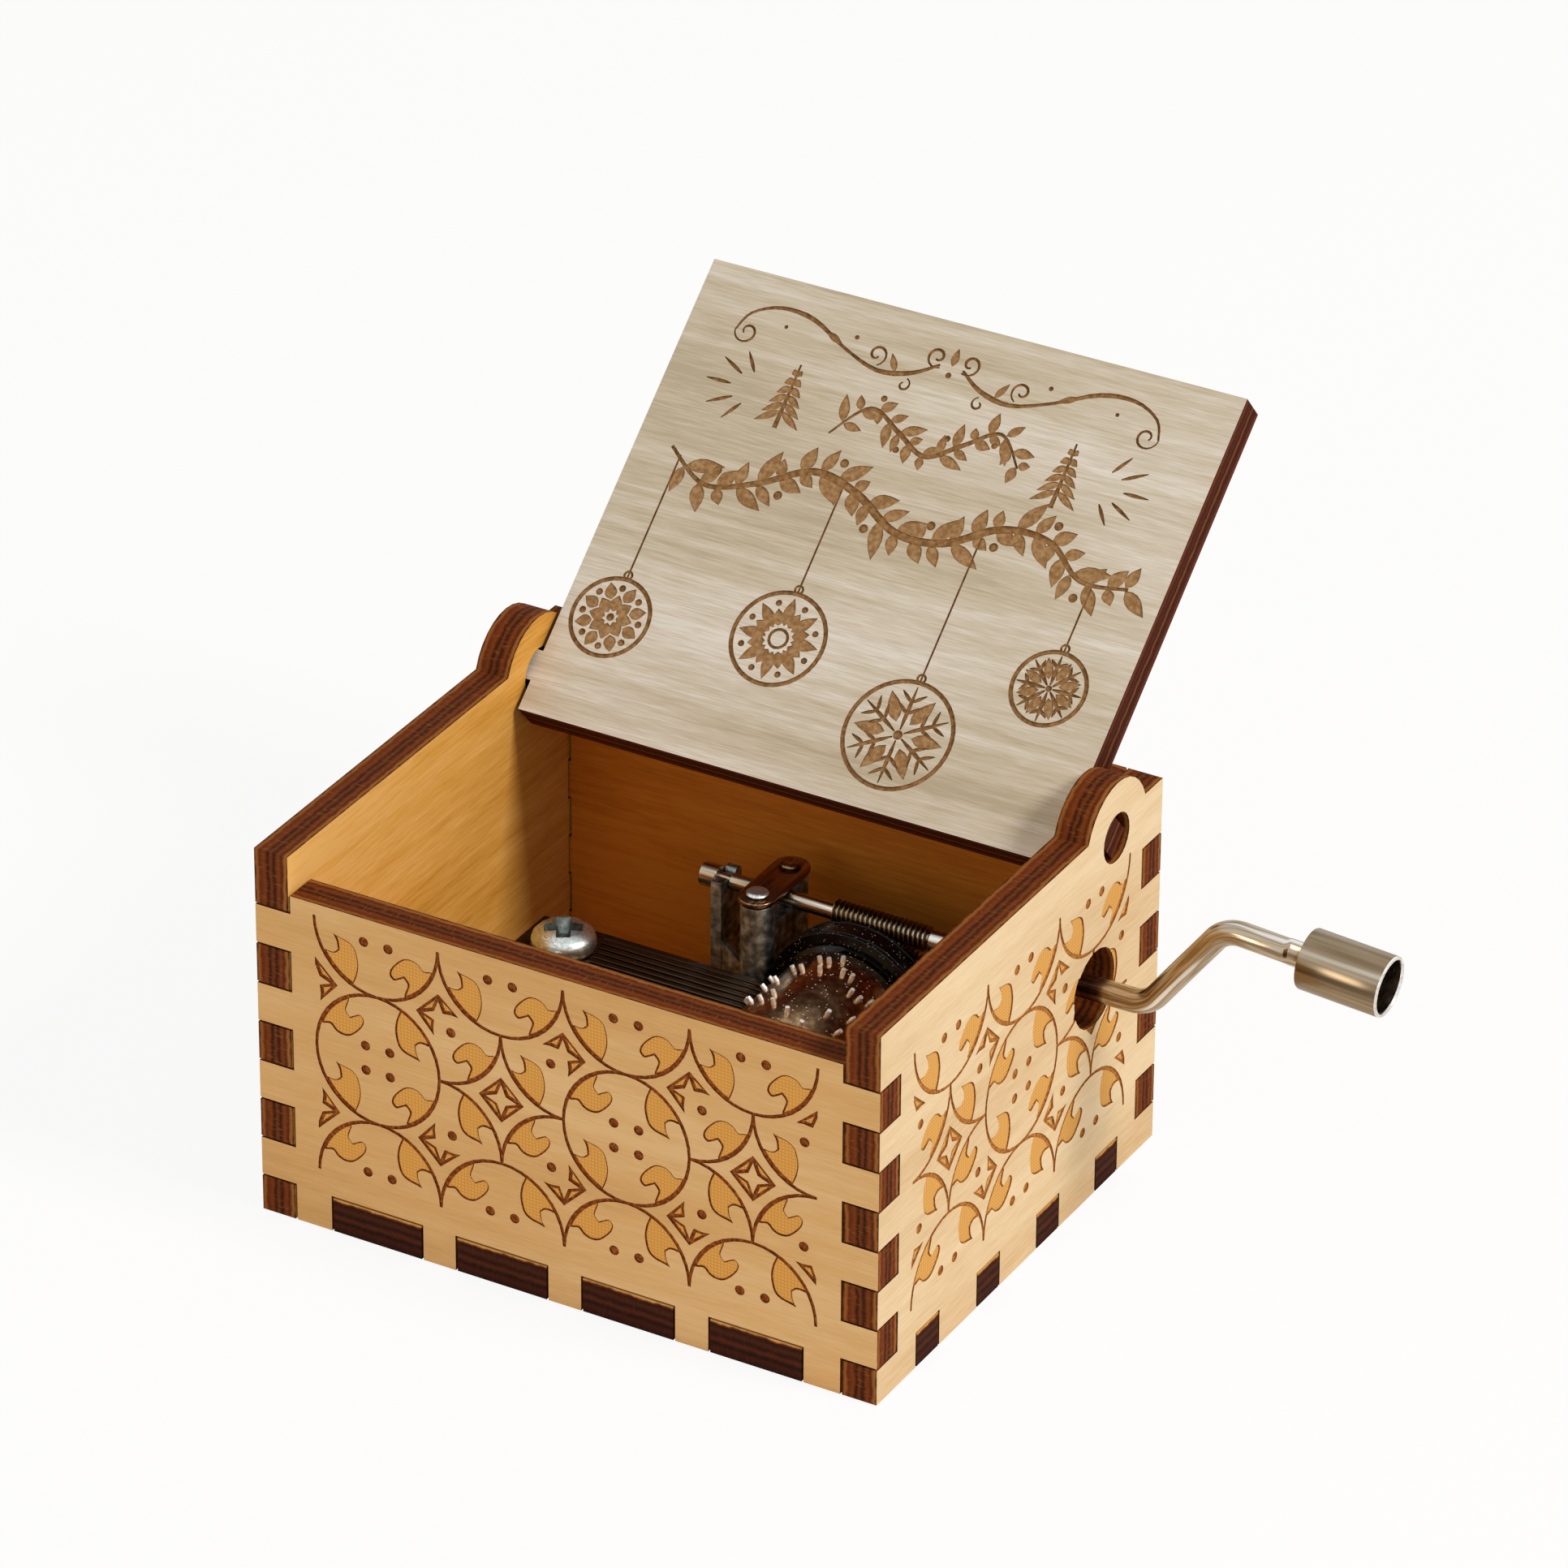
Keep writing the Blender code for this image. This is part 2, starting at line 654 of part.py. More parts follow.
def make_movement_frame():
    frame = make_bed()
    foot = bed_top_z - CAST_OVERLAP
    lug_height = cylinder_z - foot
    arbor_hole = ARBOR_RADIUS + RUN_GAP
    front_lug = facing_front(bearing_lug(lug_height, arbor_hole), (cylinder_x, front_lug_y, cylinder_z))
    rear_lug = facing_front(bearing_lug(lug_height, arbor_hole), (cylinder_x, rear_lug_y, cylinder_z))
    shaft_lug = facing_side(bearing_lug(crank_z - foot, ROD_RADIUS + RUN_GAP), (shaft_lug_x, crank_y, crank_z))
    comb_seat_z = comb_top_z - COMB_THICKNESS - SEAT_GAP
    seat = block(
        (comb_heel_x + BLOCK_MARGIN, comb_front_y + BLOCK_MARGIN, foot),
        (comb_tip_x - LONG_TOOTH, comb_rear_y - BLOCK_MARGIN, comb_seat_z),
    )
    saddle = block(
        (post_x - SADDLE_THICKNESS / 2, post_ys[0], foot),
        (post_x + SADDLE_THICKNESS / 2, post_ys[1], crank_z - SADDLE_DROP),
    )
    join(frame, front_lug, rear_lug, shaft_lug, seat, saddle, make_fork())
    for place_y in post_ys:
        post = rod(POST_RADIUS, foot, post_top_z, MEDIUM)
        post.location = (post_x, place_y, 0)
        join(frame, post)
    join(frame, make_rib())
    boss = rod(BOSS_RADIUS, foot, bed_top_z + BOSS_HEIGHT, MEDIUM)
    boss.location = (*base_screw_places[1], 0)
    join(frame, boss)
    for place_y in post_ys:
        cut(frame, rivet_shape(place_y, SEAT_GAP))
    for place_y in comb_screw_ys:
        cut(frame, comb_screw_shape(place_y, SEAT_GAP))
    for place in base_screw_places:
        cut(frame, base_screw_shape(place, SEAT_GAP, open_mouth=False))
    return add_part(settle(frame), "movement_frame", ZINC)


def rivet_shape(place_y, growth):
    """A keeper rivet, or with growth the hole that takes it."""
    radius = RIVET_SHANK_RADIUS + growth
    head_z = keeper_z + KEEPER_THICKNESS + SEAT_GAP
    dome_z = head_z + RIVET_HEAD_HEIGHT
    profile = [
        (0, dome_z),
        (RIVET_HEAD_RADIUS * RIVET_CROWN, dome_z),
        (RIVET_HEAD_RADIUS, head_z + RIVET_HEAD_HEIGHT / 3),
        (RIVET_HEAD_RADIUS, head_z),
        (radius, head_z),
        (radius, head_z - RIVET_SHANK_LENGTH - growth),
        (0, head_z - RIVET_SHANK_LENGTH - growth),
    ]
    rivet = turned(profile, SMALL)
    rivet.location = (post_x, place_y, 0)
    return rivet


def make_keeper():
    """The little plate over the shaft and the two rivets that hold it on the posts."""
    outline = arc((0, post_ys[1]), KEEPER_END_RADIUS, 0, math.pi, MEDIUM // 2)
    outline += arc((0, post_ys[0]), KEEPER_END_RADIUS, math.pi, 2 * math.pi, MEDIUM // 2)
    holes = [circle((0, place_y), RIVET_SHANK_RADIUS + SEAT_GAP, SMALL) for place_y in post_ys]
    keeper = plate(outline, KEEPER_THICKNESS, holes)
    keeper.location = (post_x, 0, keeper_z + KEEPER_THICKNESS / 2)
    add_part(keeper, "keeper_plate", NICKEL)
    for name, place_y in zip(("keeper_rivet_front", "keeper_rivet_rear"), post_ys):
        add_part(rivet_shape(place_y, 0), name, SCREW_ZINC)


def screw_hole_and_body(head_profile, radius, tip_z, growth):
    """The rest of a screw's outline below its head, with a short pointed tip."""
    shank = radius + growth
    return [*head_profile, (shank, tip_z + radius), (shank / 2, tip_z - growth), (0, tip_z - growth)]


def comb_screw_shape(place_y, growth):
    """A pan-head comb screw, or with growth the hole for its shank."""
    head_z = comb_top_z + SEAT_GAP
    height = COMB_SCREW_HEAD_HEIGHT
    head = [
        (0, head_z + height),
        (COMB_SCREW_HEAD_RADIUS * PAN_CROWN, head_z + height),
        (COMB_SCREW_HEAD_RADIUS * PAN_SHOULDER, head_z + height * PAN_SHOULDER_LEVEL),
        (COMB_SCREW_HEAD_RADIUS, head_z + height * PAN_SIDE_LEVEL),
        (COMB_SCREW_HEAD_RADIUS, head_z + height * PAN_FOOT_LEVEL),
        (COMB_SCREW_HEAD_RADIUS * PAN_FOOT, head_z),
        (COMB_SCREW_RADIUS + growth, head_z),
    ]
    profile = screw_hole_and_body(head, COMB_SCREW_RADIUS, head_z - COMB_SCREW_LENGTH, growth)
    screw = turned(profile, MEDIUM)
    screw.location = (comb_screw_x, place_y, 0)
    return screw


def base_screw_shape(place, growth, open_mouth=False):
    """A countersunk screw from below, or with growth its hole, whose mouth can run out past the panel."""
    head_z = BASE_SCREW_SUNK
    shank_z = head_z + BASE_SCREW_HEAD_HEIGHT
    tip_z = head_z + BASE_SCREW_LENGTH
    head_radius = BASE_SCREW_HEAD_RADIUS + growth
    profile = [
        (0, tip_z + growth),
        ((BASE_SCREW_RADIUS + growth) / 2, tip_z + growth),
        (BASE_SCREW_RADIUS + growth, tip_z - BASE_SCREW_RADIUS),
        (BASE_SCREW_RADIUS + growth, shank_z + growth),
        (head_radius, head_z + growth),
    ]
    if open_mouth:
        profile.append((head_radius, -PLY))
        profile.append((0, -PLY))
    else:
        profile.append((head_radius, head_z))
        profile.append((0, head_z))
    screw = turned(profile, SMALL)
    screw.location = (*place, 0)
    return screw


def make_screws():
    for name, place_y in zip(("comb_screw_rear", "comb_screw_front"), comb_screw_ys):
        add_part(comb_screw_shape(place_y, 0), name, SCREW_ZINC)
    for name, place in zip(("base_screw_left", "base_screw_right"), base_screw_places):
        add_part(base_screw_shape(place, 0), name, SCREW_ZINC)


def make_comb():
    """One steel plate: a thick heel under the screws, and teeth that shorten towards the front."""
    outline = [(comb_heel_x, comb_front_y)]
    for tooth in range(COMB_TEETH):
        low = comb_front_y + tooth * COMB_PITCH
        high = low + COMB_PITCH
        root = comb_tip_x - LONG_TOOTH + (COMB_TEETH - 2 - tooth) * TOOTH_STEP
        if tooth > 0:
            low += COMB_SLOT / 2
        if tooth < COMB_TEETH - 1:
            high -= COMB_SLOT / 2
        outline += [(comb_tip_x, low), (comb_tip_x, high)]
        if tooth < COMB_TEETH - 1:
            outline += [(root, high), (root, high + COMB_SLOT)]
    outline.append((comb_heel_x, comb_rear_y))
    holes = [circle((comb_screw_x, y), COMB_SCREW_RADIUS + SEAT_GAP, SMALL) for y in comb_screw_ys]
    comb = plate(outline, COMB_THICKNESS, holes)
    comb.location.z = comb_top_z - COMB_THICKNESS / 2
    relief = block(
        (comb_tip_x - LONG_TOOTH, comb_front_y - PLY, comb_top_z - 2 * COMB_THICKNESS),
        (comb_tip_x + PLY, comb_rear_y + PLY, comb_top_z - COMB_TOOTH_THICKNESS),
    )
    cut(comb, relief)
    for tooth in range(COMB_TEETH - WEIGHTED_TEETH, COMB_TEETH):
        join(comb, tuning_weight(comb_front_y + (tooth + 0.5) * COMB_PITCH))
    return add_part(comb, "comb", COMB_STEEL)


def tuning_weight(middle_y):
    """The small weight under the end of a low tooth, which makes it sound deeper."""
    half = (COMB_PITCH - COMB_SLOT) / 2 - RUN_GAP / 2
    top_z = comb_top_z - COMB_TOOTH_THICKNESS / 2
    end_x = comb_tip_x - WEIGHT_FROM_TIP
    return block(
        (end_x - WEIGHT_LENGTH, middle_y - half, top_z - COMB_TOOTH_THICKNESS / 2 - WEIGHT_DEPTH),
        (end_x, middle_y + half, top_z),
    )


def tune_notes():
    """(track, beat) of each pin: a rolling tune in the upper tracks over broken chords in the lower ones."""
    notes = set()
    upper = COMB_TEETH // 2
    for beat in range(TUNE_BEATS):
        wave = math.sin(2 * math.pi * beat / (TUNE_BEATS / 3))
        melody = upper + round((upper - 2) / 2 * (1 + wave)) + beat % 2
        notes.add((melody, beat))
        notes.add((beat * 4 % upper, beat))
        if beat % 2 == 0:
            notes.add(((beat * 3 + 2) % COMB_TEETH, beat))
    return sorted(notes)


def make_barrel():
    """A thin tube with a pin for each note, one ring of pins under each comb tooth."""
    length = barrel_rear_y - barrel_front_y
    inner = BARREL_RADIUS - BARREL_WALL
    profile = [(BARREL_RADIUS, length), (BARREL_RADIUS, 0), (inner, 0), (inner, length)]
    barrel = turned(profile, FINE, ring=True)
    along_y(barrel, (cylinder_x, barrel_front_y, cylinder_z))
    pins = bmesh.new()
    pin_length = PIN_HEIGHT + PIN_ROOT
    for track, beat in tune_notes():
        turn = Matrix.Rotation(2 * math.pi * beat / TUNE_BEATS, 4, "Z")
        height = BARREL_MARGIN + (track + 0.5) * COMB_PITCH
        out = Matrix.Translation((BARREL_RADIUS + PIN_HEIGHT - pin_length / 2, 0, height))
        lie = Matrix.Rotation(math.pi / 2, 4, "Y")
        bmesh.ops.create_cone(
            pins,
            cap_ends=True,
            segments=PIN_SIDES,
            radius1=PIN_RADIUS,
            radius2=PIN_RADIUS * PIN_TAPER,
            depth=pin_length,
            matrix=turn @ out @ lie,
        )
    mesh = bpy.data.meshes.new("pins")
    pins.to_mesh(mesh)
    pins.free()
    join(barrel, along_y(link_mesh(mesh), barrel.location))
    print("pins on the barrel:", len(tune_notes()))
    return add_part(settle(barrel), "cylinder_barrel", BARREL_NICKEL)


def gear_blank():
    """The worm gear's toothed ring about Z, its teeth slanted to lie along the worm's thread."""
    outline = []
    for tooth in range(GEAR_TEETH):
        middle = 2 * math.pi * tooth / GEAR_TEETH - math.pi / 2
        for radius, width in (
            (gear_root_radius, -GEAR_ROOT_WIDTH),
            (gear_tip_radius, -GEAR_TIP_WIDTH),
            (gear_tip_radius, GEAR_TIP_WIDTH),
            (gear_root_radius, GEAR_ROOT_WIDTH),
        ):
            angle = middle + width / 2 / radius
            outline.append((radius * math.cos(angle), radius * math.sin(angle), -gear_width / 2))
    thread_radius = (WORM_CORE_RADIUS + WORM_CREST_RADIUS) / 2
    slant = WORM_PITCH / (2 * math.pi * thread_radius) * gear_width / gear_pitch_radius
    shape = bmesh.new()
    front = shape.faces.new([shape.verts.new(point) for point in outline])
    bmesh.ops.rotate(shape, verts=shape.verts, matrix=Matrix.Rotation(-slant / 2, 3, "Z"))
    swept = bmesh.ops.extrude_face_region(shape, geom=[front])
    rear = [item for item in swept["geom"] if isinstance(item, bmesh.types.BMVert)]
    bmesh.ops.translate(shape, verts=rear, vec=(0, 0, gear_width))
    bmesh.ops.rotate(shape, verts=rear, matrix=Matrix.Rotation(slant, 3, "Z"))
    bmesh.ops.recalc_face_normals(shape, faces=shape.faces)
    mesh = bpy.data.meshes.new("gear_blank")
    shape.to_mesh(mesh)
    shape.free()
    return along_y(link_mesh(mesh), (cylinder_x, crank_y, cylinder_z))


def make_cylinder_gear():
    """The moulded gear: toothed ring, broad flange, narrow shoulder, and the hub that plugs the barrel."""
    gear = gear_blank()
    hub_radius = BARREL_RADIUS - BARREL_WALL - RUN_GAP
    flange_rear = gear_front_y - crank_y
    flange_front = flange_rear - FLANGE_WIDTH
    shoulder_front = flange_front - SHOULDER_WIDTH
    hub_front = shoulder_front - JOINT_GAP - CAP_THICKNESS
    profile = [
        (0, 0),
        (hub_radius, 0),
        (hub_radius, flange_rear),
        (FLANGE_RADIUS, flange_rear),
        (FLANGE_RADIUS, flange_front),
        (SHOULDER_RADIUS, flange_front),
        (SHOULDER_RADIUS, shoulder_front),
        (hub_radius, shoulder_front),
        (hub_radius, hub_front),
        (0, hub_front),
    ]
    place = (cylinder_x, crank_y, cylinder_z)
    join(gear, along_y(turned(profile, FINE), place))
    bore = rod(ARBOR_RADIUS + RUN_GAP, hub_front - PLY, gear_width)
    cut(gear, along_y(bore, place))
    return add_part(settle(gear), "cylinder_gear", BLACK_ACETAL)


def make_cylinder_cap():
    """The plug in the barrel's front end, with the bore that sits on the arbor."""
    radius = BARREL_RADIUS - BARREL_WALL - RUN_GAP
    bore = ARBOR_RADIUS + RUN_GAP
    profile = [(radius, CAP_THICKNESS), (radius, 0), (bore, 0), (bore, CAP_THICKNESS)]
    cap = turned(profile, MEDIUM, ring=True)
    along_y(cap, (cylinder_x, barrel_front_y, cylinder_z))
    return add_part(cap, "cylinder_front_cap", BLACK_ACETAL)


def make_cylinder_arbor():
    """The steel pin that the barrel turns with, running in the frame's two lugs."""
    reach = LUG_THICKNESS / 2 + SEAT_GAP
    length = rear_lug_y - front_lug_y + 2 * reach
    arbor = rod(ARBOR_RADIUS, 0, length)
    along_y(arbor, (cylinder_x, front_lug_y - reach, cylinder_z))
    return add_part(arbor, "cylinder_arbor", NICKEL)


def worm_thread():
    """The worm's thread: a trapezium swept round and along the shaft, right-handed about +Z."""
    phase = 2 * math.pi * (worm_low / WORM_PITCH + 0.5)
    sunk = WORM_CORE_RADIUS - THREAD_SUNK
    section = [
        (sunk, WORM_ROOT_WIDTH / 2),
        (sunk, -WORM_ROOT_WIDTH / 2),
        (WORM_CREST_RADIUS, -WORM_CREST_WIDTH / 2),
        (WORM_CREST_RADIUS, WORM_CREST_WIDTH / 2),
    ]
    shape = bmesh.new()
    face = shape.faces.new([shape.verts.new((radius, 0, worm_low + z)) for radius, z in section])
    bmesh.ops.rotate(shape, verts=shape.verts, matrix=Matrix.Rotation(phase, 3, "Z"))
    steps = WORM_TURNS * WORM_STEPS
    bmesh.ops.spin(
        shape,
        geom=[face, *face.edges, *face.verts],
        axis=(0, 0, 1),
        dvec=(0, 0, WORM_PITCH / WORM_STEPS),
        angle=2 * math.pi * WORM_TURNS,
        steps=steps,
    )
    bmesh.ops.recalc_face_normals(shape, faces=shape.faces)
    mesh = bpy.data.meshes.new("thread")
    shape.to_mesh(mesh)
    shape.free()
    return link_mesh(mesh)


def crank_points():
    """Corners of the bent end's centre line, measured from the gear's middle: along the shaft, then upwards."""
    first = half_width + CRANK_REACH - cylinder_x
    second = first + ARM_RUN
    end = second + LEG_LENGTH + CRIMP_LENGTH + 2 * SEAT_GAP + GRIP_END_WALL + ROD_HEAD_LENGTH
    return first, second, end


def leg_frame():
    """Where the handle's leg starts, as a matrix whose +Z runs down the drooping leg."""
    second = crank_points()[1]
    corner = Vector((cylinder_x + second, crank_y, crank_z + THROW))
    return Matrix.Translation(corner) @ Matrix.Rotation(math.pi / 2 + LEG_DROOP, 4, "Y")


def make_crank_shaft():
    """One steel rod: collar, groove, journal and worm inside the case, then the bent arm and the grip's leg."""
    groove_half = FORK_THICKNESS / 2 + RUN_GAP
    fork = fork_x - cylinder_x
    collar_end = fork - groove_half - COLLAR_LENGTH
    chamfer = ROD_RADIUS - JOURNAL_RADIUS
    shoulder = ROD_RADIUS - SHOULDER_RELIEF
    profile = [
        (0, shaft_lug_x - cylinder_x),
        (shoulder, shaft_lug_x - cylinder_x),
        (shoulder, worm_high + WORM_PITCH / 2),
        (WORM_CORE_RADIUS, worm_high),
        (WORM_CORE_RADIUS, worm_low),
        (JOURNAL_RADIUS, worm_low - chamfer),
        (JOURNAL_RADIUS, fork + groove_half),
        (GROOVE_RADIUS, fork + groove_half),
        (GROOVE_RADIUS, fork - groove_half),
        (ROD_RADIUS, fork - groove_half),
        (ROD_RADIUS, collar_end + RUN_GAP),
        (ROD_RADIUS - RUN_GAP, collar_end),
        (0, collar_end),
    ]
    place = (cylinder_x, crank_y, crank_z)
    shaft = along_x(turned(profile, 2 * WORM_STEPS), place)
    thread = along_x(worm_thread(), place)
    first, second, end = crank_points()
    start = worm_high + WORM_PITCH
    droop = math.tan(LEG_DROOP) * (end - second)
    corners = [(start, 0, 0), (first, 0, 0), (second, 0, THROW), (end, 0, THROW - droop)]
    bent = tube(rounded(corners, BEND_RADIUS, closed=False, steps=BEND_STEPS), ROD_RADIUS)
    bent.location = place
    join(shaft, thread, bent)
    for part in crimp_and_head(end - second):
        join(shaft, part)
    for pinch in crimp_pinches():
        cut(shaft, pinch)
    return add_part(settle(shaft), "crank_shaft", NICKEL)


def crimp_and_head(leg):
    """The flattened ears that stop the grip sliding inwards, and the peened head that stops it coming off."""
    leg_place = leg_frame()
    ears = block(
        (-CRIMP_HEIGHT / 2, -CRIMP_THICKNESS / 2, LEG_LENGTH),
        (CRIMP_HEIGHT / 2, CRIMP_THICKNESS / 2, LEG_LENGTH + CRIMP_LENGTH),
    )
    ears.matrix_world = leg_place @ Matrix.Translation(ears.location)
    top = leg / math.cos(LEG_DROOP) + SEAT_GAP / 2
    head = rod(ROD_HEAD_RADIUS, top - ROD_HEAD_LENGTH, top)
    head.matrix_world = leg_place
    return ears, head


def crimp_pinches():
    """The two cuts that pinch the rod flat between the ears, front and back."""
    pinches = []
    for side in (-1, 1):
        near = side * CRIMP_THICKNESS / 2
        far = side * 2 * ROD_RADIUS
        pinch = block(
            (-CRIMP_HEIGHT, min(near, far), LEG_LENGTH + SEAT_GAP),
            (CRIMP_HEIGHT, max(near, far), LEG_LENGTH + CRIMP_LENGTH - SEAT_GAP),
        )
        pinch.matrix_world = leg_frame() @ Matrix.Translation(pinch.location)
        pinches.append(pinch)
    return pinches


def make_crank_grip():
    """The turned tube on the leg, closed but for the rod's hole at its inner end and open at its outer end."""
    bore = GRIP_RADIUS - GRIP_WALL
    hole = ROD_RADIUS + RUN_GAP
    rim = GRIP_RADIUS - GRIP_CHAMFER
    profile = [
        (rim, GRIP_LENGTH),
        (GRIP_RADIUS, GRIP_LENGTH - GRIP_CHAMFER),
        (GRIP_RADIUS, GRIP_CHAMFER),
        (rim, 0),
        (hole, 0),
        (hole, GRIP_END_WALL),
        (bore, GRIP_END_WALL),
        (bore, GRIP_LENGTH),
    ]
    grip = turned(profile, MEDIUM, ring=True)
    grip.matrix_world = leg_frame() @ Matrix.Translation((0, 0, LEG_LENGTH + CRIMP_LENGTH + SEAT_GAP))
    return add_part(grip, "crank_grip", NICKEL)


def main():
    make_bottom_panel()
    make_front_panel()
    make_back_panel()
    make_side_panels()
    make_lid()
    make_movement_frame()
    make_keeper()
    make_screws()
    make_comb()
    make_barrel()
    make_cylinder_gear()
    make_cylinder_cap()
    make_cylinder_arbor()
    make_crank_shaft()
    make_crank_grip()
    print("lid opens by", round(math.degrees(lid_open_swing()), 2), "degrees")
    print("crank axis at", round(crank_y, 5), round(crank_z, 5))


main()
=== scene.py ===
# %% [markdown]
# # A hand-cranked music box
# A small laser-cut plywood box stands open, and a pinned cylinder, a steel comb and a worm-driven gear lie inside it.
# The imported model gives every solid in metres, in one frame, so each piece made here goes where its solid is.
# The flat wood keeps its outline and gains its burnt engraving, and the metal gains its round edges and finishes.

import json
import math

import bmesh
import bpy
from mathutils import Matrix, Vector
from mathutils.geometry import delaunay_2d_cdt


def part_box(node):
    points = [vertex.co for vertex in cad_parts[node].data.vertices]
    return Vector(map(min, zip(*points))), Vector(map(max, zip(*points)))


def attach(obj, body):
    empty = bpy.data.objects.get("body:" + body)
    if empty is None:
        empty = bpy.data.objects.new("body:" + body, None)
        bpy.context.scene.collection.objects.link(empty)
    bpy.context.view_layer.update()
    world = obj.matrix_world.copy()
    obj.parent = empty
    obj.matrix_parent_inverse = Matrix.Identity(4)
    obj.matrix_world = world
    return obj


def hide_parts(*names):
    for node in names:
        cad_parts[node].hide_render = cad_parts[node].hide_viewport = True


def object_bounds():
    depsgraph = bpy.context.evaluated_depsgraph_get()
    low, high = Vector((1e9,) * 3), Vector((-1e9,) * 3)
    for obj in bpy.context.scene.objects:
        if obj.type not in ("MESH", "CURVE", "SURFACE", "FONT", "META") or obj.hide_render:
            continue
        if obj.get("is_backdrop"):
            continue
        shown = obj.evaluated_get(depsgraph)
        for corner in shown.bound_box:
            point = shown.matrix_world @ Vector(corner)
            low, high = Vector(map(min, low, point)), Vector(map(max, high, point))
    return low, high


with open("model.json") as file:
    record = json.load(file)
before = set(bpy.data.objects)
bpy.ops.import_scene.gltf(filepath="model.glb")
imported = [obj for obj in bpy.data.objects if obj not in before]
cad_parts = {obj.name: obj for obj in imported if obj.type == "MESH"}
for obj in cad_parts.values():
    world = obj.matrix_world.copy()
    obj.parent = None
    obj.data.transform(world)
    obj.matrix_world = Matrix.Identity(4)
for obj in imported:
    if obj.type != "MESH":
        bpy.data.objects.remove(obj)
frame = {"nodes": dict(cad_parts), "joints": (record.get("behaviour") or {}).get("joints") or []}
cad_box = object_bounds()
joints = {joint["name"]: joint for joint in frame["joints"]}
print("solids:", sorted(frame["nodes"]))

# %% [markdown]
# ## Camera
# The photograph was taken from the front right and above with a long lens, so the box's edges stay nearly parallel.
# A camera was worked out from the box's corners, and its three directions are written here as they were found:
# the picture's right, its top and the way back to the camera.

# %% Place the camera
MM = 0.001
LENS_MM, SENSOR_MM, VIEW_END_M = 210.375, 36, 10
CAMERA_MM = (356.965, -614.627, 449.465)
PICTURE_RIGHT = (0.86765195, 0.49714016, 0.00563512)
PICTURE_UP = (-0.25196193, 0.42991824, 0.86699798)
TOWARDS_EYE = (0.42859687, -0.75367232, 0.4982798)


def link(name, data):
    """A new object of the scene that shows this data."""
    made = bpy.data.objects.new(name, data)
    bpy.context.scene.collection.objects.link(made)
    return made


def axes(first, second, third, place_mm=(0, 0, 0)):
    """The frame of a thing whose own axes lie along these and whose origin lies here."""
    return Matrix.Translation(Vector(place_mm) * MM) @ Matrix((first, second, third)).transposed().to_4x4()


lens = bpy.data.cameras.new("camera")
lens.lens, lens.sensor_width, lens.clip_end = LENS_MM, SENSOR_MM, VIEW_END_M
camera = link("camera", lens)
camera.matrix_world = axes(PICTURE_RIGHT, PICTURE_UP, TOWARDS_EYE, CAMERA_MM)
bpy.context.scene.camera = camera
bpy.context.scene.view_settings.view_transform = "Standard"
print("camera", round(camera.matrix_world.translation.length, 3), "m from the origin")

# %% [markdown]
# ## Colours and nodes
# Colours are written as a painter reads them, as sRGB hex values, and one function turns them linear.
# One more function adds a node: it sets the node's own settings and fills or links its inputs.
# A node that is given as an input stands for its first output.

# %% Helpers for materials


def linear(colour):
    """An sRGB hex value as the linear colour that Blender works with."""
    shares = [int(colour[place : place + 2], 16) / 255 for place in (1, 3, 5)]
    lit = [share / 12.92 if share <= 0.04045 else ((share + 0.055) / 1.055) ** 2.4 for share in shares]
    return (*lit, 1.0)


def fill(tree, node, inputs):
    """Fills or links a node's inputs."""
    for name, value in inputs.items():
        if isinstance(value, bpy.types.Node):
            value = value.outputs[0]
        if isinstance(value, bpy.types.NodeSocket):
            tree.links.new(value, node.inputs[name])
        else:
            node.inputs[name].default_value = value


def add_node(tree, kind, inputs=None, stops=(), **settings):
    """A new node with its settings, its inputs and a colour ramp's stops."""
    node = tree.nodes.new(kind)
    for name, value in settings.items():
        setattr(node, name, value)
    fill(tree, node, inputs or {})
    for index, (place, colour) in enumerate(stops):
        ramp = node.color_ramp.elements
        stop = ramp[index] if index < len(ramp) else ramp.new(place)
        stop.position = place
        stop.color = linear(colour)
    return node


def start_finish(name, roughness, specular=0.5, metallic=0.0, source="Object"):
    """A new material, its node tree, its shader and the coordinates that its pattern follows."""
    material = bpy.data.materials.new(name)
    material.use_nodes = True
    tree = material.node_tree
    shader = tree.nodes["Principled BSDF"]
    fill(tree, shader, {"Roughness": roughness, "Specular IOR Level": specular, "Metallic": metallic})
    return material, tree, shader, add_node(tree, "ShaderNodeTexCoord").outputs[source]


def per_metre(along_mm, across_mm, along):
    """Pattern scale for a grain this long and this wide, lying along one of the axes X, Y or Z."""
    return [1000 / (along_mm if axis == along else across_mm) for axis in "XYZ"]


def stretched_noise(tree, place, scale, **inputs):
    """A noise that is drawn out by this scale."""
    drawn = add_node(tree, "ShaderNodeMapping", {"Vector": place, "Scale": scale})
    return add_node(tree, "ShaderNodeTexNoise", {"Vector": drawn, "Scale": 1.0, **inputs})


print("a mid tan is", [round(share, 3) for share in linear("#DDB47C")])

# %% [markdown]
# ## Floor, background and light
# The box is shown on a white ground with next to no shadow, as in a catalogue.
# The floor and the world answer the camera with plain white and light the box at a calm level of their own.
# One large soft lamp stands to the right and lights the right wall, the lid and the inside of the left wall.
# A weak one in front lifts the front wall, and the inside of the back wall stays in a deep shade.

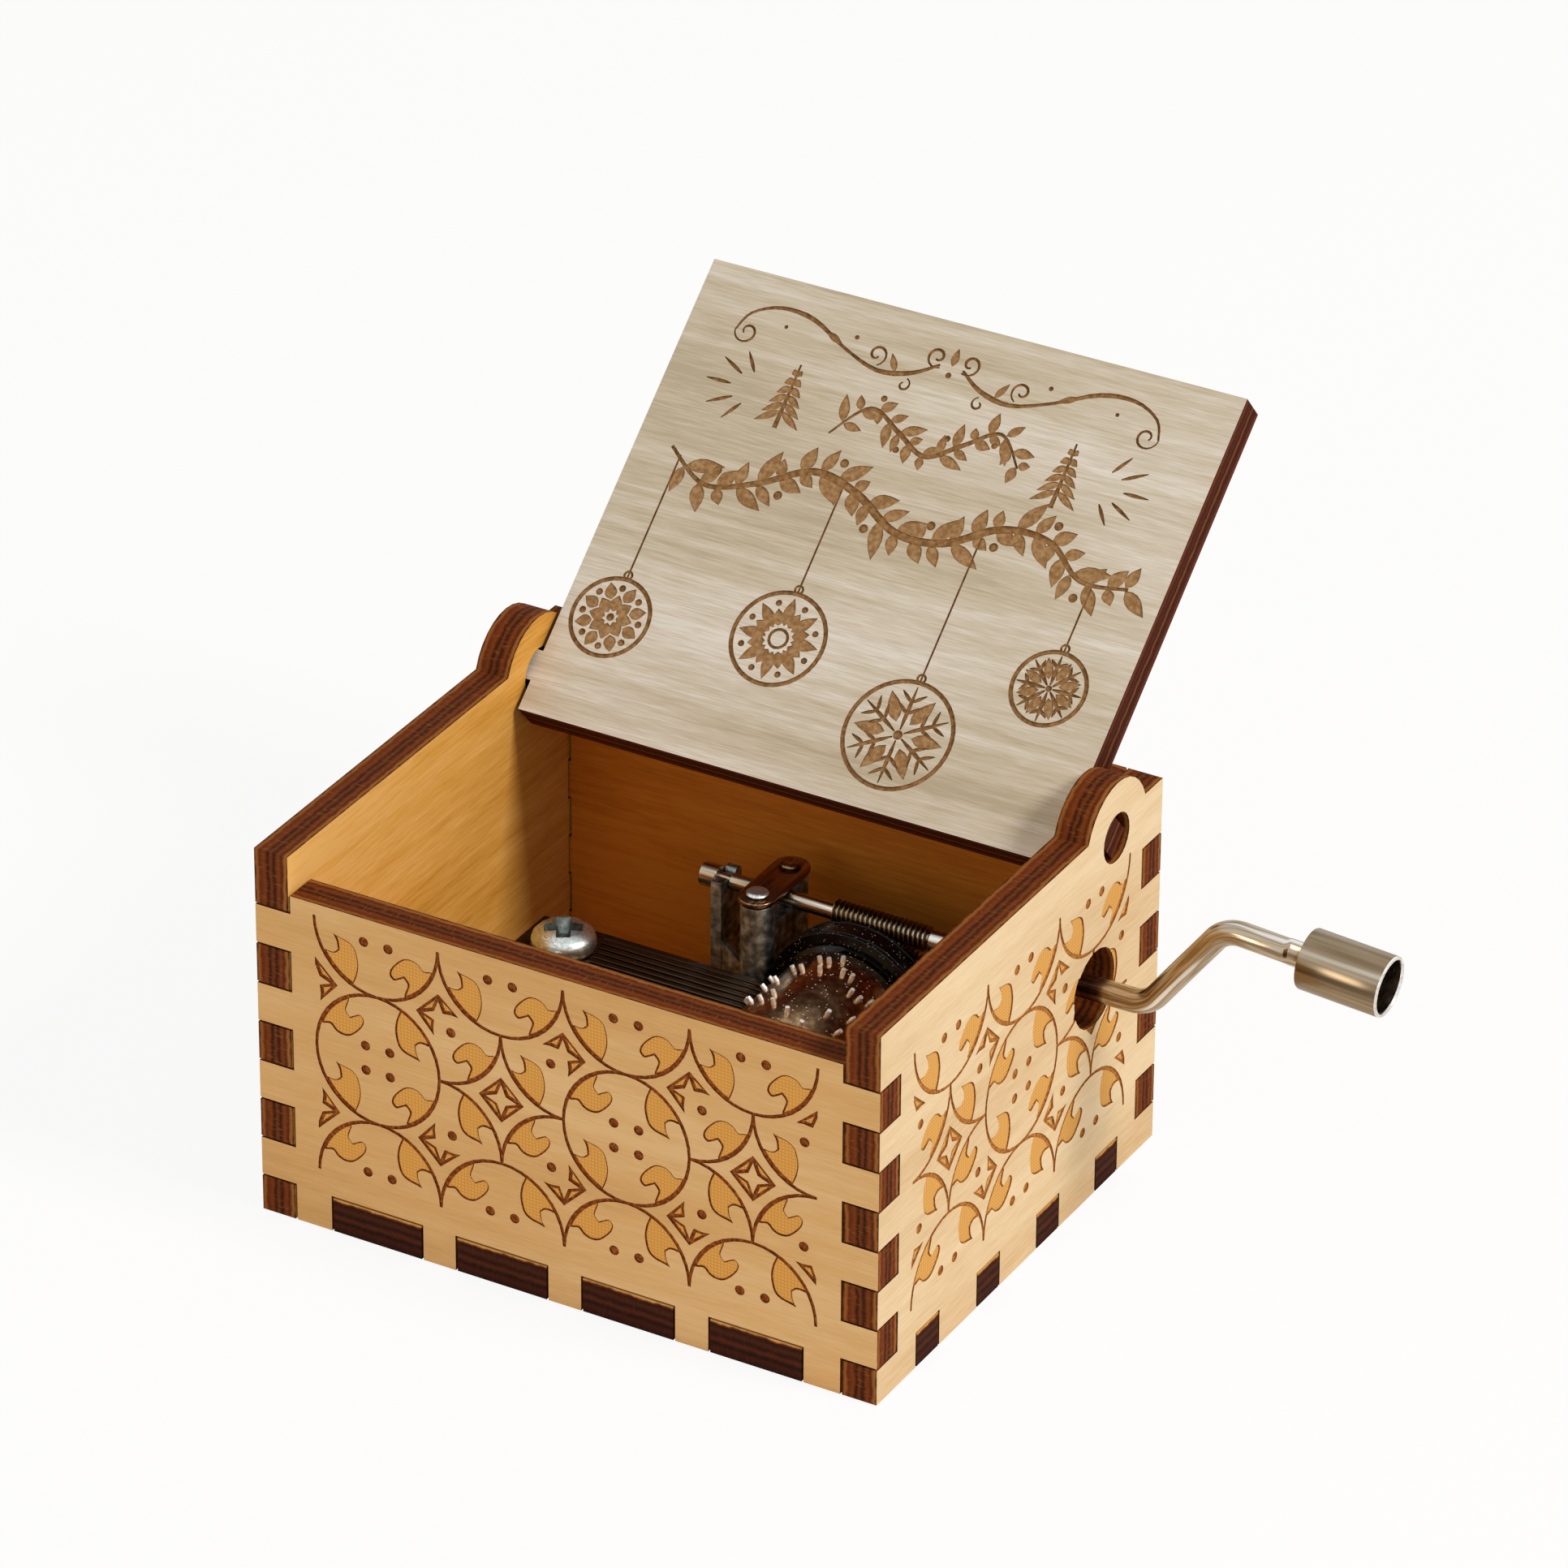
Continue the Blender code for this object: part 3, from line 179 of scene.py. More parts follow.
# %% Make the floor, the world and the lamps
FLOOR_SHADOW = 0.1
FLOOR_HALF_M, FLOOR_DROP_M = 3, 0.0001
AMBIENT = 0.42
LAMPS_SHINE_ON = Vector((0, 0, 0.03))
world = bpy.data.worlds.new("studio")
bpy.context.scene.world = world
world.use_nodes = True
sky = world.node_tree
sky.nodes.clear()
rays = add_node(sky, "ShaderNodeLightPath").outputs
seen = rays["Is Camera Ray"]
for kind in ("Is Glossy Ray", "Is Transmission Ray"):
    seen = add_node(sky, "ShaderNodeMath", {0: seen, 1: rays[kind]}, operation="MAXIMUM").outputs[0]
soft = add_node(sky, "ShaderNodeBackground", {"Color": linear("#FFFAF4"), "Strength": AMBIENT})
white = add_node(sky, "ShaderNodeBackground", {"Color": (1, 1, 1, 1), "Strength": 1.0})
either = add_node(sky, "ShaderNodeMixShader", {0: seen, 1: soft, 2: white})
add_node(sky, "ShaderNodeOutputWorld", {"Surface": either})


def make_floor():
    """A pale floor that the camera sees as white, darkened a little where the box shades it."""
    material, tree, shader, _ = start_finish("white_paper_floor", 0.9, 0.0)
    fill(tree, shader, {"Base Color": linear("#FFFFFF")})
    seen = add_node(tree, "ShaderNodeLightPath").outputs["Is Camera Ray"]
    glow = add_node(tree, "ShaderNodeEmission", {"Color": (1, 1, 1, 1), "Strength": 1.0})
    share = add_node(tree, "ShaderNodeMath", {0: seen, 1: 1 - FLOOR_SHADOW}, operation="MULTIPLY")
    mixed = add_node(tree, "ShaderNodeMixShader", {0: share, 1: shader, 2: glow})
    fill(tree, tree.nodes["Material Output"], {"Surface": mixed})
    mesh = bpy.data.meshes.new("floor")
    half = FLOOR_HALF_M
    mesh.from_pydata([(-half, -half, 0), (half, -half, 0), (half, half, 0), (-half, half, 0)], [], [(0, 1, 2, 3)])
    mesh.materials.append(material)
    floor = link("floor", mesh)
    floor.location.z = -FLOOR_DROP_M
    return floor


def add_lamp(name, place, size, watts, colour):
    """A soft square lamp that shines on the middle of the box."""
    light = bpy.data.lights.new(name, "AREA")
    light.size, light.energy, light.color = size, watts, linear(colour)[:3]
    lamp = link(name, light)
    lamp.location = place
    lamp.rotation_euler = (LAMPS_SHINE_ON - Vector(place)).to_track_quat("-Z", "Y").to_euler()


make_floor()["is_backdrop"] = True
add_lamp("key_lamp", (0.75, 0.03, 0.71), 0.22, 6.1, "#FFF6EA")
add_lamp("front_lamp", (-0.2, -0.9, 0.14), 0.4, 2.0, "#FFF9F2")

# %% [markdown]
# ## Birch plywood faces
# The outside is bare birch veneer, sanded and not varnished: pale tan, with a faint grain that runs level.
# The front and back take a more golden tone than the sides.
# A noise that is stretched along the grain gives broad bands, a finer one gives the fibres, and a slow one lets
# the tone drift over the sheet. Inside the box the veneer is painted a deeper, brighter orange tan as painted bounce
# light, and the inside of the back wall a darker reddish brown, partly singed wood and partly painted shade.
# The lid is of paler, greyer basswood, with grey-tan streaks along its width.

# %% Birch and basswood veneers
BAND_LONG_MM, FIBRE_LONG_MM = 38, 3.2
DRIFT_LONG_MM, DRIFT_WIDE_MM = 55, 14
DRIFT_REACH, DRIFT_BASE, FIBRE_SHARE = 0.6, -0.28, 0.45


def sanded_veneer(name, along, tones, band_mm=2.2, fibre_mm=0.2, roughness=0.62):
    """Bare sanded veneer in four tones from dark to light, its grain along X, Y or Z."""
    material, tree, shader, place = start_finish(name, roughness, 0.2)
    bands = stretched_noise(tree, place, per_metre(BAND_LONG_MM, band_mm, along), Detail=3.0, Distortion=0.6)
    fibres = stretched_noise(tree, place, per_metre(FIBRE_LONG_MM, fibre_mm, along), Detail=2.0)
    drift = stretched_noise(tree, place, per_metre(DRIFT_LONG_MM, DRIFT_WIDE_MM, along), Detail=1.0)
    both = add_node(tree, "ShaderNodeMix", {0: FIBRE_SHARE, 2: bands, 3: fibres}, data_type="FLOAT")
    shift = add_node(tree, "ShaderNodeMath", {0: drift, 1: DRIFT_REACH, 2: DRIFT_BASE}, operation="MULTIPLY_ADD")
    shade = add_node(tree, "ShaderNodeMath", {0: both, 1: shift}, operation="ADD")
    colour = add_node(tree, "ShaderNodeValToRGB", {"Fac": shade}, zip((0.3, 0.44, 0.56, 0.7), tones))
    bump = add_node(tree, "ShaderNodeBump", {"Height": fibres, "Strength": 0.5, "Distance": 0.012 * MM})
    fill(tree, shader, {"Base Color": colour, "Normal": bump})
    return material


GOLDEN_BIRCH = ("#D0A163", "#D8AA6D", "#DDB176", "#E3BB84")
PALE_BIRCH = ("#D3B285", "#DCC097", "#E2C9A1", "#E9D3AF")
# Painted bounce light: the inner faces are the same birch, painted brighter and more orange than the outside.
INNER_BIRCH_PAINTED_BOUNCE = ("#CF9238", "#E2A64A", "#EDB45A", "#F6C374")
# The inside of the back wall is painted darker and redder: partly singed wood, partly painted shade.
SINGED_AND_PAINTED_SHADE_BIRCH = ("#B46C1C", "#C47824", "#D0842A", "#DC9236")
PALE_BASSWOOD = ("#BCAF96", "#CCC1AB", "#D8CFBF", "#E8E3DA")
birch_level_x = sanded_veneer("sanded_birch_veneer_x", "X", GOLDEN_BIRCH)
birch_level_y = sanded_veneer("sanded_birch_veneer_y", "Y", PALE_BIRCH)
birch_lid = sanded_veneer("sanded_birch_lid", "X", PALE_BIRCH)
inner_painted_bounce_x = sanded_veneer("birch_veneer_painted_bounce_x", "X", INNER_BIRCH_PAINTED_BOUNCE)
inner_painted_bounce_y = sanded_veneer("birch_veneer_painted_bounce_y", "Y", INNER_BIRCH_PAINTED_BOUNCE)
back_wall_singe_painted_shade = sanded_veneer("birch_singed_painted_shade_x", "X", SINGED_AND_PAINTED_SHADE_BIRCH)
basswood = sanded_veneer("sanded_basswood_veneer", "X", PALE_BASSWOOD, 1.3, 0.17, 0.55)
print("veneers are ready")

# %% [markdown]
# ## Burnt edges
# The laser chars the edge of the plywood to a very dark brown, and the plies show as a few lighter stripes.
# The stripes follow the sheet's thickness, so each edge material knows the axis that the sheet is thin along.
# Short streaks of another tone lie over the stripes. On the walls they are golden: painted glints where light
# catches the rough char. The lightest stripes, next to both faces, are partly painted glints along the edges.
# The floor's tabs are burnt nearly black, with a thin golden line where the beam came out at their top.

# %% Charred plywood edges
PLY_MM = 3.5
# The lightest stops, next to both faces, are partly plies and partly painted glints along the edges.
PLY_STOPS = (
    *((0.00, "#2C0F04"), (0.08, "#9A5A26"), (0.17, "#5C270B"), (0.31, "#77370F"), (0.41, "#2C0F04"), (0.50, "#6E3411")),
    *((0.60, "#2E1005"), (0.72, "#7A3A12"), (0.83, "#4C1F08"), (0.92, "#A2642F"), (1.00, "#2C0F04")),
)
LID_STOPS = (
    *((0.00, "#260B03"), (0.10, "#6A2E10"), (0.22, "#361306"), (0.36, "#4C1D0A"), (0.46, "#240A03")),
    *((0.55, "#7A4018"), (0.64, "#2A0D04"), (0.82, "#431808"), (0.92, "#6A2E10"), (1.00, "#260B03")),
)
TAB_STOPS = (
    *((0.00, "#240C04"), (0.22, "#40190A"), (0.34, "#1A0703"), (0.47, "#512410"), (0.60, "#230B04")),
    *((0.74, "#47200E"), (0.88, "#260D05"), (0.93, "#5A280F"), (0.965, "#BC7836"), (0.99, "#DCA864")),
)


# The default streak tone, a golden brown, is painted glints of light on the rough char.
def charred_edge(name, axis, low_mm, undo=Matrix(), stops=PLY_STOPS, ember="#A5662B"):
    """The charred edge of a sheet that is thin along X, Y or Z and starts at low_mm on that axis.

    undo takes a sheet that stands at a slant back to where it was drawn."""
    material, tree, shader, place = start_finish(name, 0.8, 0.12)
    laid_back = {"Vector": place, "Location": undo.translation, "Rotation": undo.to_euler()}
    turned = add_node(tree, "ShaderNodeMapping", laid_back)
    height = add_node(tree, "ShaderNodeSeparateXYZ", {0: turned}).outputs[axis]
    in_plies = {0: height, 1: 1000 / PLY_MM, 2: -low_mm / PLY_MM}
    layer = add_node(tree, "ShaderNodeMath", in_plies, operation="MULTIPLY_ADD")
    wave = add_node(tree, "ShaderNodeTexNoise", {"Vector": turned, "Scale": 900.0, "Detail": 5.0})
    shift = add_node(tree, "ShaderNodeMath", {0: wave, 1: 0.14, 2: -0.07}, operation="MULTIPLY_ADD")
    wavy = add_node(tree, "ShaderNodeMath", {0: layer, 1: shift}, operation="ADD")
    plies = add_node(tree, "ShaderNodeValToRGB", {"Fac": wavy}, stops)
    streaks = stretched_noise(tree, turned, per_metre(0.9, 0.22, axis), Detail=3.0)
    span = {"Value": streaks, "From Min": 0.54, "From Max": 0.76, "To Max": 0.4}
    shade = add_node(tree, "ShaderNodeMapRange", span)
    colour = add_node(tree, "ShaderNodeMix", {0: shade, 6: plies, 7: linear(ember)}, data_type="RGBA")
    bump = add_node(tree, "ShaderNodeBump", {"Height": streaks, "Strength": 0.7, "Distance": 0.04 * MM})
    fill(tree, shader, {"Base Color": colour.outputs[2], "Normal": bump})
    return material


front_edge = charred_edge("charred_edge_front", "Y", -26.0)
back_edge = charred_edge("charred_edge_back", "Y", 22.5)
left_edge = charred_edge("charred_edge_left", "X", -32.0)
right_edge = charred_edge("charred_edge_right", "X", 28.5)
floor_edge = charred_edge("charred_edge_floor", "Z", 0.0, stops=TAB_STOPS, ember="#5C2A12")
print("charred edges are ready")

# %% [markdown]
# ## Laser engraving
# The ornament is burnt a tenth of a millimetre into the veneer. Its lines are a deep toasted brown.
# The leaves are scanned with fine crossing lines, which leave a lighter golden hatch.
# The hatch is drawn at three lines a millimetre, about as coarse as the eye still reads it.

# %% Engraved lines and hatched leaves
HATCH_MM = 0.34
HATCH_DEPTH = 0.7


def toasted_groove(name, tones, speck_mm=0.35):
    """The brown of a burnt line, uneven as the beam's heat was."""
    material, tree, shader, place = start_finish(name, 0.85, 0.15)
    specks = add_node(tree, "ShaderNodeTexNoise", {"Vector": place, "Scale": 1000 / speck_mm, "Detail": 2.0})
    colour = add_node(tree, "ShaderNodeValToRGB", {"Fac": specks}, zip((0.35, 0.5, 0.68), tones))
    fill(tree, shader, {"Base Color": colour})
    return material


def hatched_scan(name, level_axis, ground, line):
    """A scanned area: two families of fine lines, one across each axis of the sheet."""
    material, tree, shader, place = start_finish(name, 0.8, 0.15)
    parts = add_node(tree, "ShaderNodeSeparateXYZ", {0: place}).outputs
    rows = []
    for axis in (level_axis, "Z"):
        turns = {0: parts[axis], 1: 2 * math.pi * 1000 / HATCH_MM}
        wave = add_node(tree, "ShaderNodeMath", turns, operation="MULTIPLY")
        rows.append(add_node(tree, "ShaderNodeMath", {0: wave}, operation="SINE"))
    most = add_node(tree, "ShaderNodeMath", {0: rows[0], 1: rows[1]}, operation="MAXIMUM")
    lines = add_node(tree, "ShaderNodeMapRange", {"Value": most, "From Min": 0.2, "To Max": HATCH_DEPTH})
    colour = add_node(tree, "ShaderNodeMix", {0: lines, 6: linear(ground), 7: linear(line)}, data_type="RGBA")
    fill(tree, shader, {"Base Color": colour.outputs[2]})
    return material


toasted = toasted_groove("toasted_birch_groove", ("#6A2F0A", "#824012", "#A35F22"))
pale_toasted = toasted_groove("toasted_pale_birch_groove", ("#985C24", "#AC7032", "#C2894A"))
leaf_on_front = hatched_scan("hatched_birch_leaf_front", "X", "#E4A856", "#C68938")
leaf_on_side = hatched_scan("hatched_birch_leaf_side", "Y", "#E2AE60", "#BE8440")
print("engraved finishes are ready")

# %% [markdown]
# ## Flat sheets cut from their solids
# Each wall keeps the exact outline of its solid: the outer face is found on the solid and its edge is followed round.
# The drawing's loops and that outline are then cut into triangles together, and every triangle is asked what it is:
# bare face, scanned leaf or burnt line. The deeper ones sink, and small walls join the levels, so it stays closed.

# %% Read a solid's outline
GRAIN_OF_MESH = 1e-6


def merged_solid(node, turn=Matrix()):
    """A solid's shape, turned, with its loose triangles joined."""
    shape = bmesh.new()
    shape.from_mesh(frame["nodes"][node].data)
    shape.transform(turn)
    bmesh.ops.remove_doubles(shape, verts=shape.verts, dist=GRAIN_OF_MESH)
    return shape


def flat_loops(node, to_sheet):
    """The edges of a solid's face at nought in the sheet's own frame, in millimetres, the longest first."""
    shape = merged_solid(node, to_sheet)
    flat = [face for face in shape.faces if all(abs(vert.co.z) < 1e-5 for vert in face.verts)]
    after = {}
    for face in flat:
        for corner in face.loops:
            if sum(other in flat for other in corner.edge.link_faces) == 1:
                after[corner.vert.index] = corner.link_loop_next.vert.index
    places = {vert.index: (vert.co.x / MM, vert.co.y / MM) for vert in shape.verts}
    shape.free()
    loops = []
    while after:
        start, step = after.popitem()
        loop = [places[start]]
        while step != start:
            loop.append(places[step])
            step = after.pop(step)
        loops.append(loop)
    return sorted(loops, key=lambda loop: -abs(loop_area(loop)))


def loop_area(loop):
    """A closed loop's area, above nought where it runs anticlockwise."""
    return sum(a[0] * b[1] - b[0] * a[1] for a, b in zip(loop, loop[1:] + loop[:1])) / 2


def turns_round(point, loops):
    """How often the loops wind round a point; nought means that it lies outside."""
    x, y = point
    turns = 0
    for loop in loops:
        for before, here in zip([loop[-1]] + loop, loop):
            if (before[1] <= y) != (here[1] <= y):
                side = (here[0] - before[0]) * (y - before[1]) - (x - before[0]) * (here[1] - before[1])
                if here[1] > before[1] and side > 0:
                    turns += 1
                elif here[1] < before[1] and side < 0:
                    turns -= 1
    return turns


print("a square of one millimetre covers", loop_area([(0, 0), (1, 0), (1, 1), (0, 1)]), "square millimetres")

# %% Sink a drawing into a sheet
FACE, SCAN, LINE, BACK, EDGE = range(5)
LEVEL_OF = {"line": LINE, "scan": SCAN, "rim": LINE}
WALL_SINK_MM = (0.0, 0.09, 0.14)


def cut_into_triangles(loops):
    """All loops in one triangulation: its points and its anticlockwise triangles."""
    points = []
    edges = []
    for loop in loops:
        first = len(points)
        points += [Vector(point) for point in loop]
        edges += [(first + step, first + (step + 1) % len(loop)) for step in range(len(loop))]
    verts, _, triangles, _, _, _ = delaunay_2d_cdt(points, edges, [], 0, 1e-4)
    turned_over = [loop_area([verts[corner] for corner in triangle]) < 0 for triangle in triangles]
    return verts, [list(corners)[:: -1 if over else 1] for corners, over in zip(triangles, turned_over)]


def level_of(point, drawing):
    """The level of the first thing in the drawing that covers a point."""
    for kind, loops, low, high in drawing:
        if low[0] <= point[0] <= high[0] and low[1] <= point[1] <= high[1] and turns_round(point, loops):
            return LEVEL_OF[kind]
    return FACE


def engraved_sheet(name, outline, thickness_mm, place, drawing, finishes, sink_mm):
    """A closed sheet with a drawing sunk into its face. finishes: face, scan, line, back and edge."""
    boxed = []
    for kind, loops in sorted(drawing, key=lambda part: list(LEVEL_OF).index(part[0])):
        sides = list(zip(*(point for loop in loops for point in loop)))
        boxed.append((kind, loops, [min(side) for side in sides], [max(side) for side in sides]))
    points, triangles = cut_into_triangles(outline + [loop for _, loops in drawing for loop in loops])
    levels = {}
    solid = []
    for corners in triangles:
        middle = [sum(points[corner][side] for corner in corners) / 3 for side in (0, 1)]
        if turns_round(middle, outline):
            level = level_of(middle, boxed)
            solid.append((corners, level))
            for step in range(3):
                levels[corners[step], corners[(step + 1) % 3]] = level
    depths = [-depth for depth in sink_mm] + [-thickness_mm]
    numbers = {}
    places = []

    def corner_at(point, level):
        if (point, level) not in numbers:
            numbers[point, level] = len(places)
            places.append(Vector((points[point][0], points[point][1], depths[level])) * MM)
        return numbers[point, level]

    faces = []
    kinds = []
    for corners, level in solid:
        faces.append([corner_at(corner, level) for corner in corners])
        faces.append([corner_at(corner, BACK) for corner in reversed(corners)])
        kinds += [level, BACK]
    for (start, end), level in levels.items():
        other = levels.get((end, start))
        if other is None:
            rungs, kind = range(level, BACK), EDGE
        else:
            rungs, kind = range(other, level), LINE
            start, end = end, start
        for upper in rungs:
            around = ((start, upper + 1), (end, upper + 1), (end, upper), (start, upper))
            faces.append([corner_at(point, rung) for point, rung in around])
            kinds.append(kind)
    mesh = bpy.data.meshes.new(name)
    mesh.from_pydata(places, [], faces)
    for finish in finishes:
        mesh.materials.append(finish)
    mesh.polygons.foreach_set("material_index", kinds)
    mesh.transform(place)
    mesh.update()
    print(name, "has", len(faces), "faces")
    return link(name, mesh)


# %% [markdown]
# ## The lattice ornament
# The walls carry a traditional lattice: round rings alternate with four-pointed stars, and each quarter of a ring
# holds one curled leaf. Everything follows from a quarter ring, so the ornament is built up from that one piece.
# The leaf comes in two forms, a rounded one and a pointed one, and each is also used turned half round.

# %% One quarter ring with its leaf
RING_U, RING_V = 6.45, 6.675
ARC_WIDTH, ARC_TIP = 0.38, 0.3
RIM_WIDTH = 0.15
LEAF_GAP = 0.1
DOT_RADIUS, DOT_OFFSET = 0.5, 1.28
ROUND_LEAF = (
    ((-2.86, 5.68), (-3.13, 4.95), (-3.28, 4.32), (-2.86, 3.80)),
    (
        *((-2.86, 3.80), (-2.34, 4.11), (-1.82, 4.32), (-1.41, 3.91), (-1.51, 3.28), (-2.03, 2.55)),
        *((-2.86, 1.82), (-3.70, 1.67), (-4.43, 1.93), (-4.95, 2.45), (-5.57, 2.34)),
    ),
)
POINTED_LEAF = (
    ((5.36, 3.18), (4.95, 3.28), (4.43, 3.23), (4.01, 2.86)),
    ((4.01, 2.86), (4.11, 2.03), (4.48, 1.35)),
    ((4.48, 1.35), (3.91, 1.51), (2.97, 1.72), (2.34, 2.14), (2.03, 2.86), (1.88, 3.91), (2.03, 4.95), (2.34, 5.78)),
)


def flowing(points, steps=3):
    """A smooth line through the points, with its ends kept."""
    line = []
    last = len(points) - 1
    for index in range(last):
        a, b, c, d = (Vector(points[min(max(index + step, 0), last)]) for step in (-1, 0, 1, 2))
        for step in range(steps):
            t = step / steps
            bend = 2 * b + (c - a) * t + (2 * a - 5 * b + 4 * c - d) * t * t + (3 * b - a - 3 * c + d) * t**3
            line.append(tuple(bend / 2))
    return line + [tuple(points[-1])]


def at_angle(centre, radius, degrees):
    angle = math.radians(degrees)
    return centre[0] + radius * math.cos(angle), centre[1] + radius * math.sin(angle)


def arc(centre, radii, start_deg, end_deg, steps=10):
    """Points along an arc of a ring that may be a little taller than it is wide."""
    line = []
    for step in range(steps + 1):
        angle = math.radians(start_deg + (end_deg - start_deg) * step / steps)
        line.append((centre[0] + radii[0] * math.cos(angle), centre[1] + radii[1] * math.sin(angle)))
    return line


def to_the_left(way):
    """A direction in a plane, turned a quarter round to the left."""
    return Vector((-way.y, way.x))


def stroke(line, widths):
    """A loop round a line, as wide as widths says from its start to its end."""
    left = []
    right = []
    last = len(line) - 1
    for index, point in enumerate(line):
        along = Vector(line[min(index + 1, last)]) - Vector(line[max(index - 1, 0)])
        side = to_the_left(along).normalized()
        share = index / last * (len(widths) - 1)
        low = min(int(share), len(widths) - 2)
        half = (widths[low] + (widths[low + 1] - widths[low]) * (share - low)) / 2
        left.append(tuple(Vector(point) + side * half))
        right.append(tuple(Vector(point) - side * half))
    return right + left[::-1]


def inset(loop, distance):
    """A closed loop moved inwards by a distance at every point."""
    way = 1 if loop_area(loop) > 0 else -1
    moved = []
    for index, point in enumerate(loop):
        back = (Vector(point) - Vector(loop[index - 1])).normalized()
        forth = (Vector(loop[(index + 1) % len(loop)]) - Vector(point)).normalized()
        inward = to_the_left(back + forth) * way
        if inward.length < 1e-6:
            inward = to_the_left(back) * way
        inward.normalize()
        steep = max(inward.dot(to_the_left(back) * way), 0.45)
        moved.append(tuple(Vector(point) + inward * (distance / steep)))
    return moved


def leaf_loop(sides, start, end):
    """A leaf's outline: along the ring from one point to another, then back through its curled sides."""
    ends = [math.degrees(math.atan2(v / RING_V, u / RING_U)) for u, v in (start, end)]
    loop = arc((0, 0), (RING_U - LEAF_GAP, RING_V - LEAF_GAP), *ends, 5)
    for side in sides:
        loop += flowing(side)[1:]
    return loop


round_leaf = leaf_loop(ROUND_LEAF, (-5.78, 2.24), (-2.86, 5.68))
pointed_leaf = leaf_loop(POINTED_LEAF, (2.34, 5.78), (5.36, 3.18))
QUARTERS = {
    "NW": (round_leaf, 1, (90, 180)),
    "SE": (round_leaf, -1, (270, 360)),
    "NE": (pointed_leaf, 1, (0, 90)),
    "SW": (pointed_leaf, -1, (180, 270)),
}


def quarter_ring(centre, quarter, widen):
    """The arc and the leaf of one quarter of a ring round a centre."""
    leaf, turn, (start, end) = QUARTERS[quarter]
    placed = [(centre[0] + turn * u * widen, centre[1] + turn * v) for u, v in leaf]
    line = arc(centre, (RING_U * widen, RING_V), start, end)
    drawn = stroke(line, (ARC_TIP, ARC_WIDTH, ARC_WIDTH, ARC_TIP))
    return [("line", [drawn]), ("rim", [placed]), ("scan", [inset(placed, RIM_WIDTH)])]


def dot(centre, radius=DOT_RADIUS):
    return "line", [arc(centre, (radius, radius), 0, 330, 11)]


print("a round leaf covers", round(abs(loop_area(round_leaf)), 2), "square millimetres")

# %% [markdown]
# Rings, stars and diamonds are put together from the quarter ring in a grid of cells.
# A ring cell holds four quarters round its own middle. A star cell holds the quarters of the rings at its corners.

# %% The lattice of rings and stars
DIAMOND = 2.35
STAR_TIP, STAR_WAIST = 1.6, 0.45
WEDGE_RIM = 0.34
ROUND = {"NW": (-1, 1), "NE": (1, 1), "SW": (-1, -1), "SE": (1, -1)}
FACING = {"NW": "SE", "NE": "SW", "SW": "NE", "SE": "NW"}


def wedge(centre, quarter, free=""):
    """One of the four burnt corners round a bare star; free names an end that no other corner meets, u or v."""
    du, dv = ROUND[quarter]
    along_u = [(1.4, 0.55), (2.12, 0.48)] if free == "u" else [(STAR_TIP, 0.0), (DIAMOND, 0.0)]
    along_v = [(0.48, 2.12), (0.55, 1.4)] if free == "v" else [(0.0, DIAMOND), (0.0, STAR_TIP)]
    shape = along_u + along_v + [(STAR_WAIST, STAR_WAIST)]
    placed = [(centre[0] + du * u, centre[1] + dv * v) for u, v in shape]
    return [("rim", [placed]), ("scan", [inset(placed, WEDGE_RIM)])]


def leaf_and_dot(centre, quarter, widen):
    """A quarter ring and the dot beside its centre."""
    du, dv = ROUND[quarter]
    return [*quarter_ring(centre, quarter, widen), dot((centre[0] + du * DOT_OFFSET, centre[1] + dv * DOT_OFFSET))]


def lattice(columns, middle, pitch_u):
    """The whole ornament of a wall. columns: the middle of each cell and whether it holds a ring or a star."""
    widen = pitch_u / 2 / RING_U
    drawing = []
    for u, form in columns:
        for level, quarters in ((middle + 2 * RING_V, ("SW", "SE")), (middle - 2 * RING_V, ("NW", "NE"))):
            for quarter in quarters:
                drawing += leaf_and_dot((u, level), quarter, widen)
        if form == "star":
            drawing += [part for quarter in ROUND for part in wedge((u, middle), quarter)]
        for quarter, (du, dv) in ROUND.items():
            corner = (u + du * pitch_u / 2, middle + dv * RING_V)
            if form == "ring":
                drawing += leaf_and_dot((u, middle), quarter, widen)
                drawing += wedge(corner, FACING[quarter], "v")
            else:
                drawing += leaf_and_dot(corner, FACING[quarter], widen)
            over = ("N" if dv > 0 else "S") + ("W" if du > 0 else "E")
            drawing += wedge(corner, over, "" if form == "ring" else "u")
    return drawing


front_drawing = lattice([(-19.35, "ring"), (-6.45, "star"), (6.45, "ring"), (19.35, "star")], 19.6, 12.9)
side_drawing = lattice([(-13.3, "star"), (0.0, "ring"), (13.3, "star")], 19.85, 13.3)
print("loops on the front:", len(front_drawing), "and on a side:", len(side_drawing))

# %% [markdown]
# ## The four engraved walls
# A wall's own frame has its first axis along the wall, its second upwards and its third out of the box.
# The drawing is laid on in that frame, and the finished sheet replaces the plain solid that it was cut from.

# %% Make the walls
UP = Vector((0, 0, 1))
HALF_LONG, HALF_WIDE = 32, 26


def put_on(piece, body, slot, *nodes):
    """Lets a finished piece ride on its body and stand for its solids."""
    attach(piece, body)
    if nodes:
        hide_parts(*nodes)
    return piece


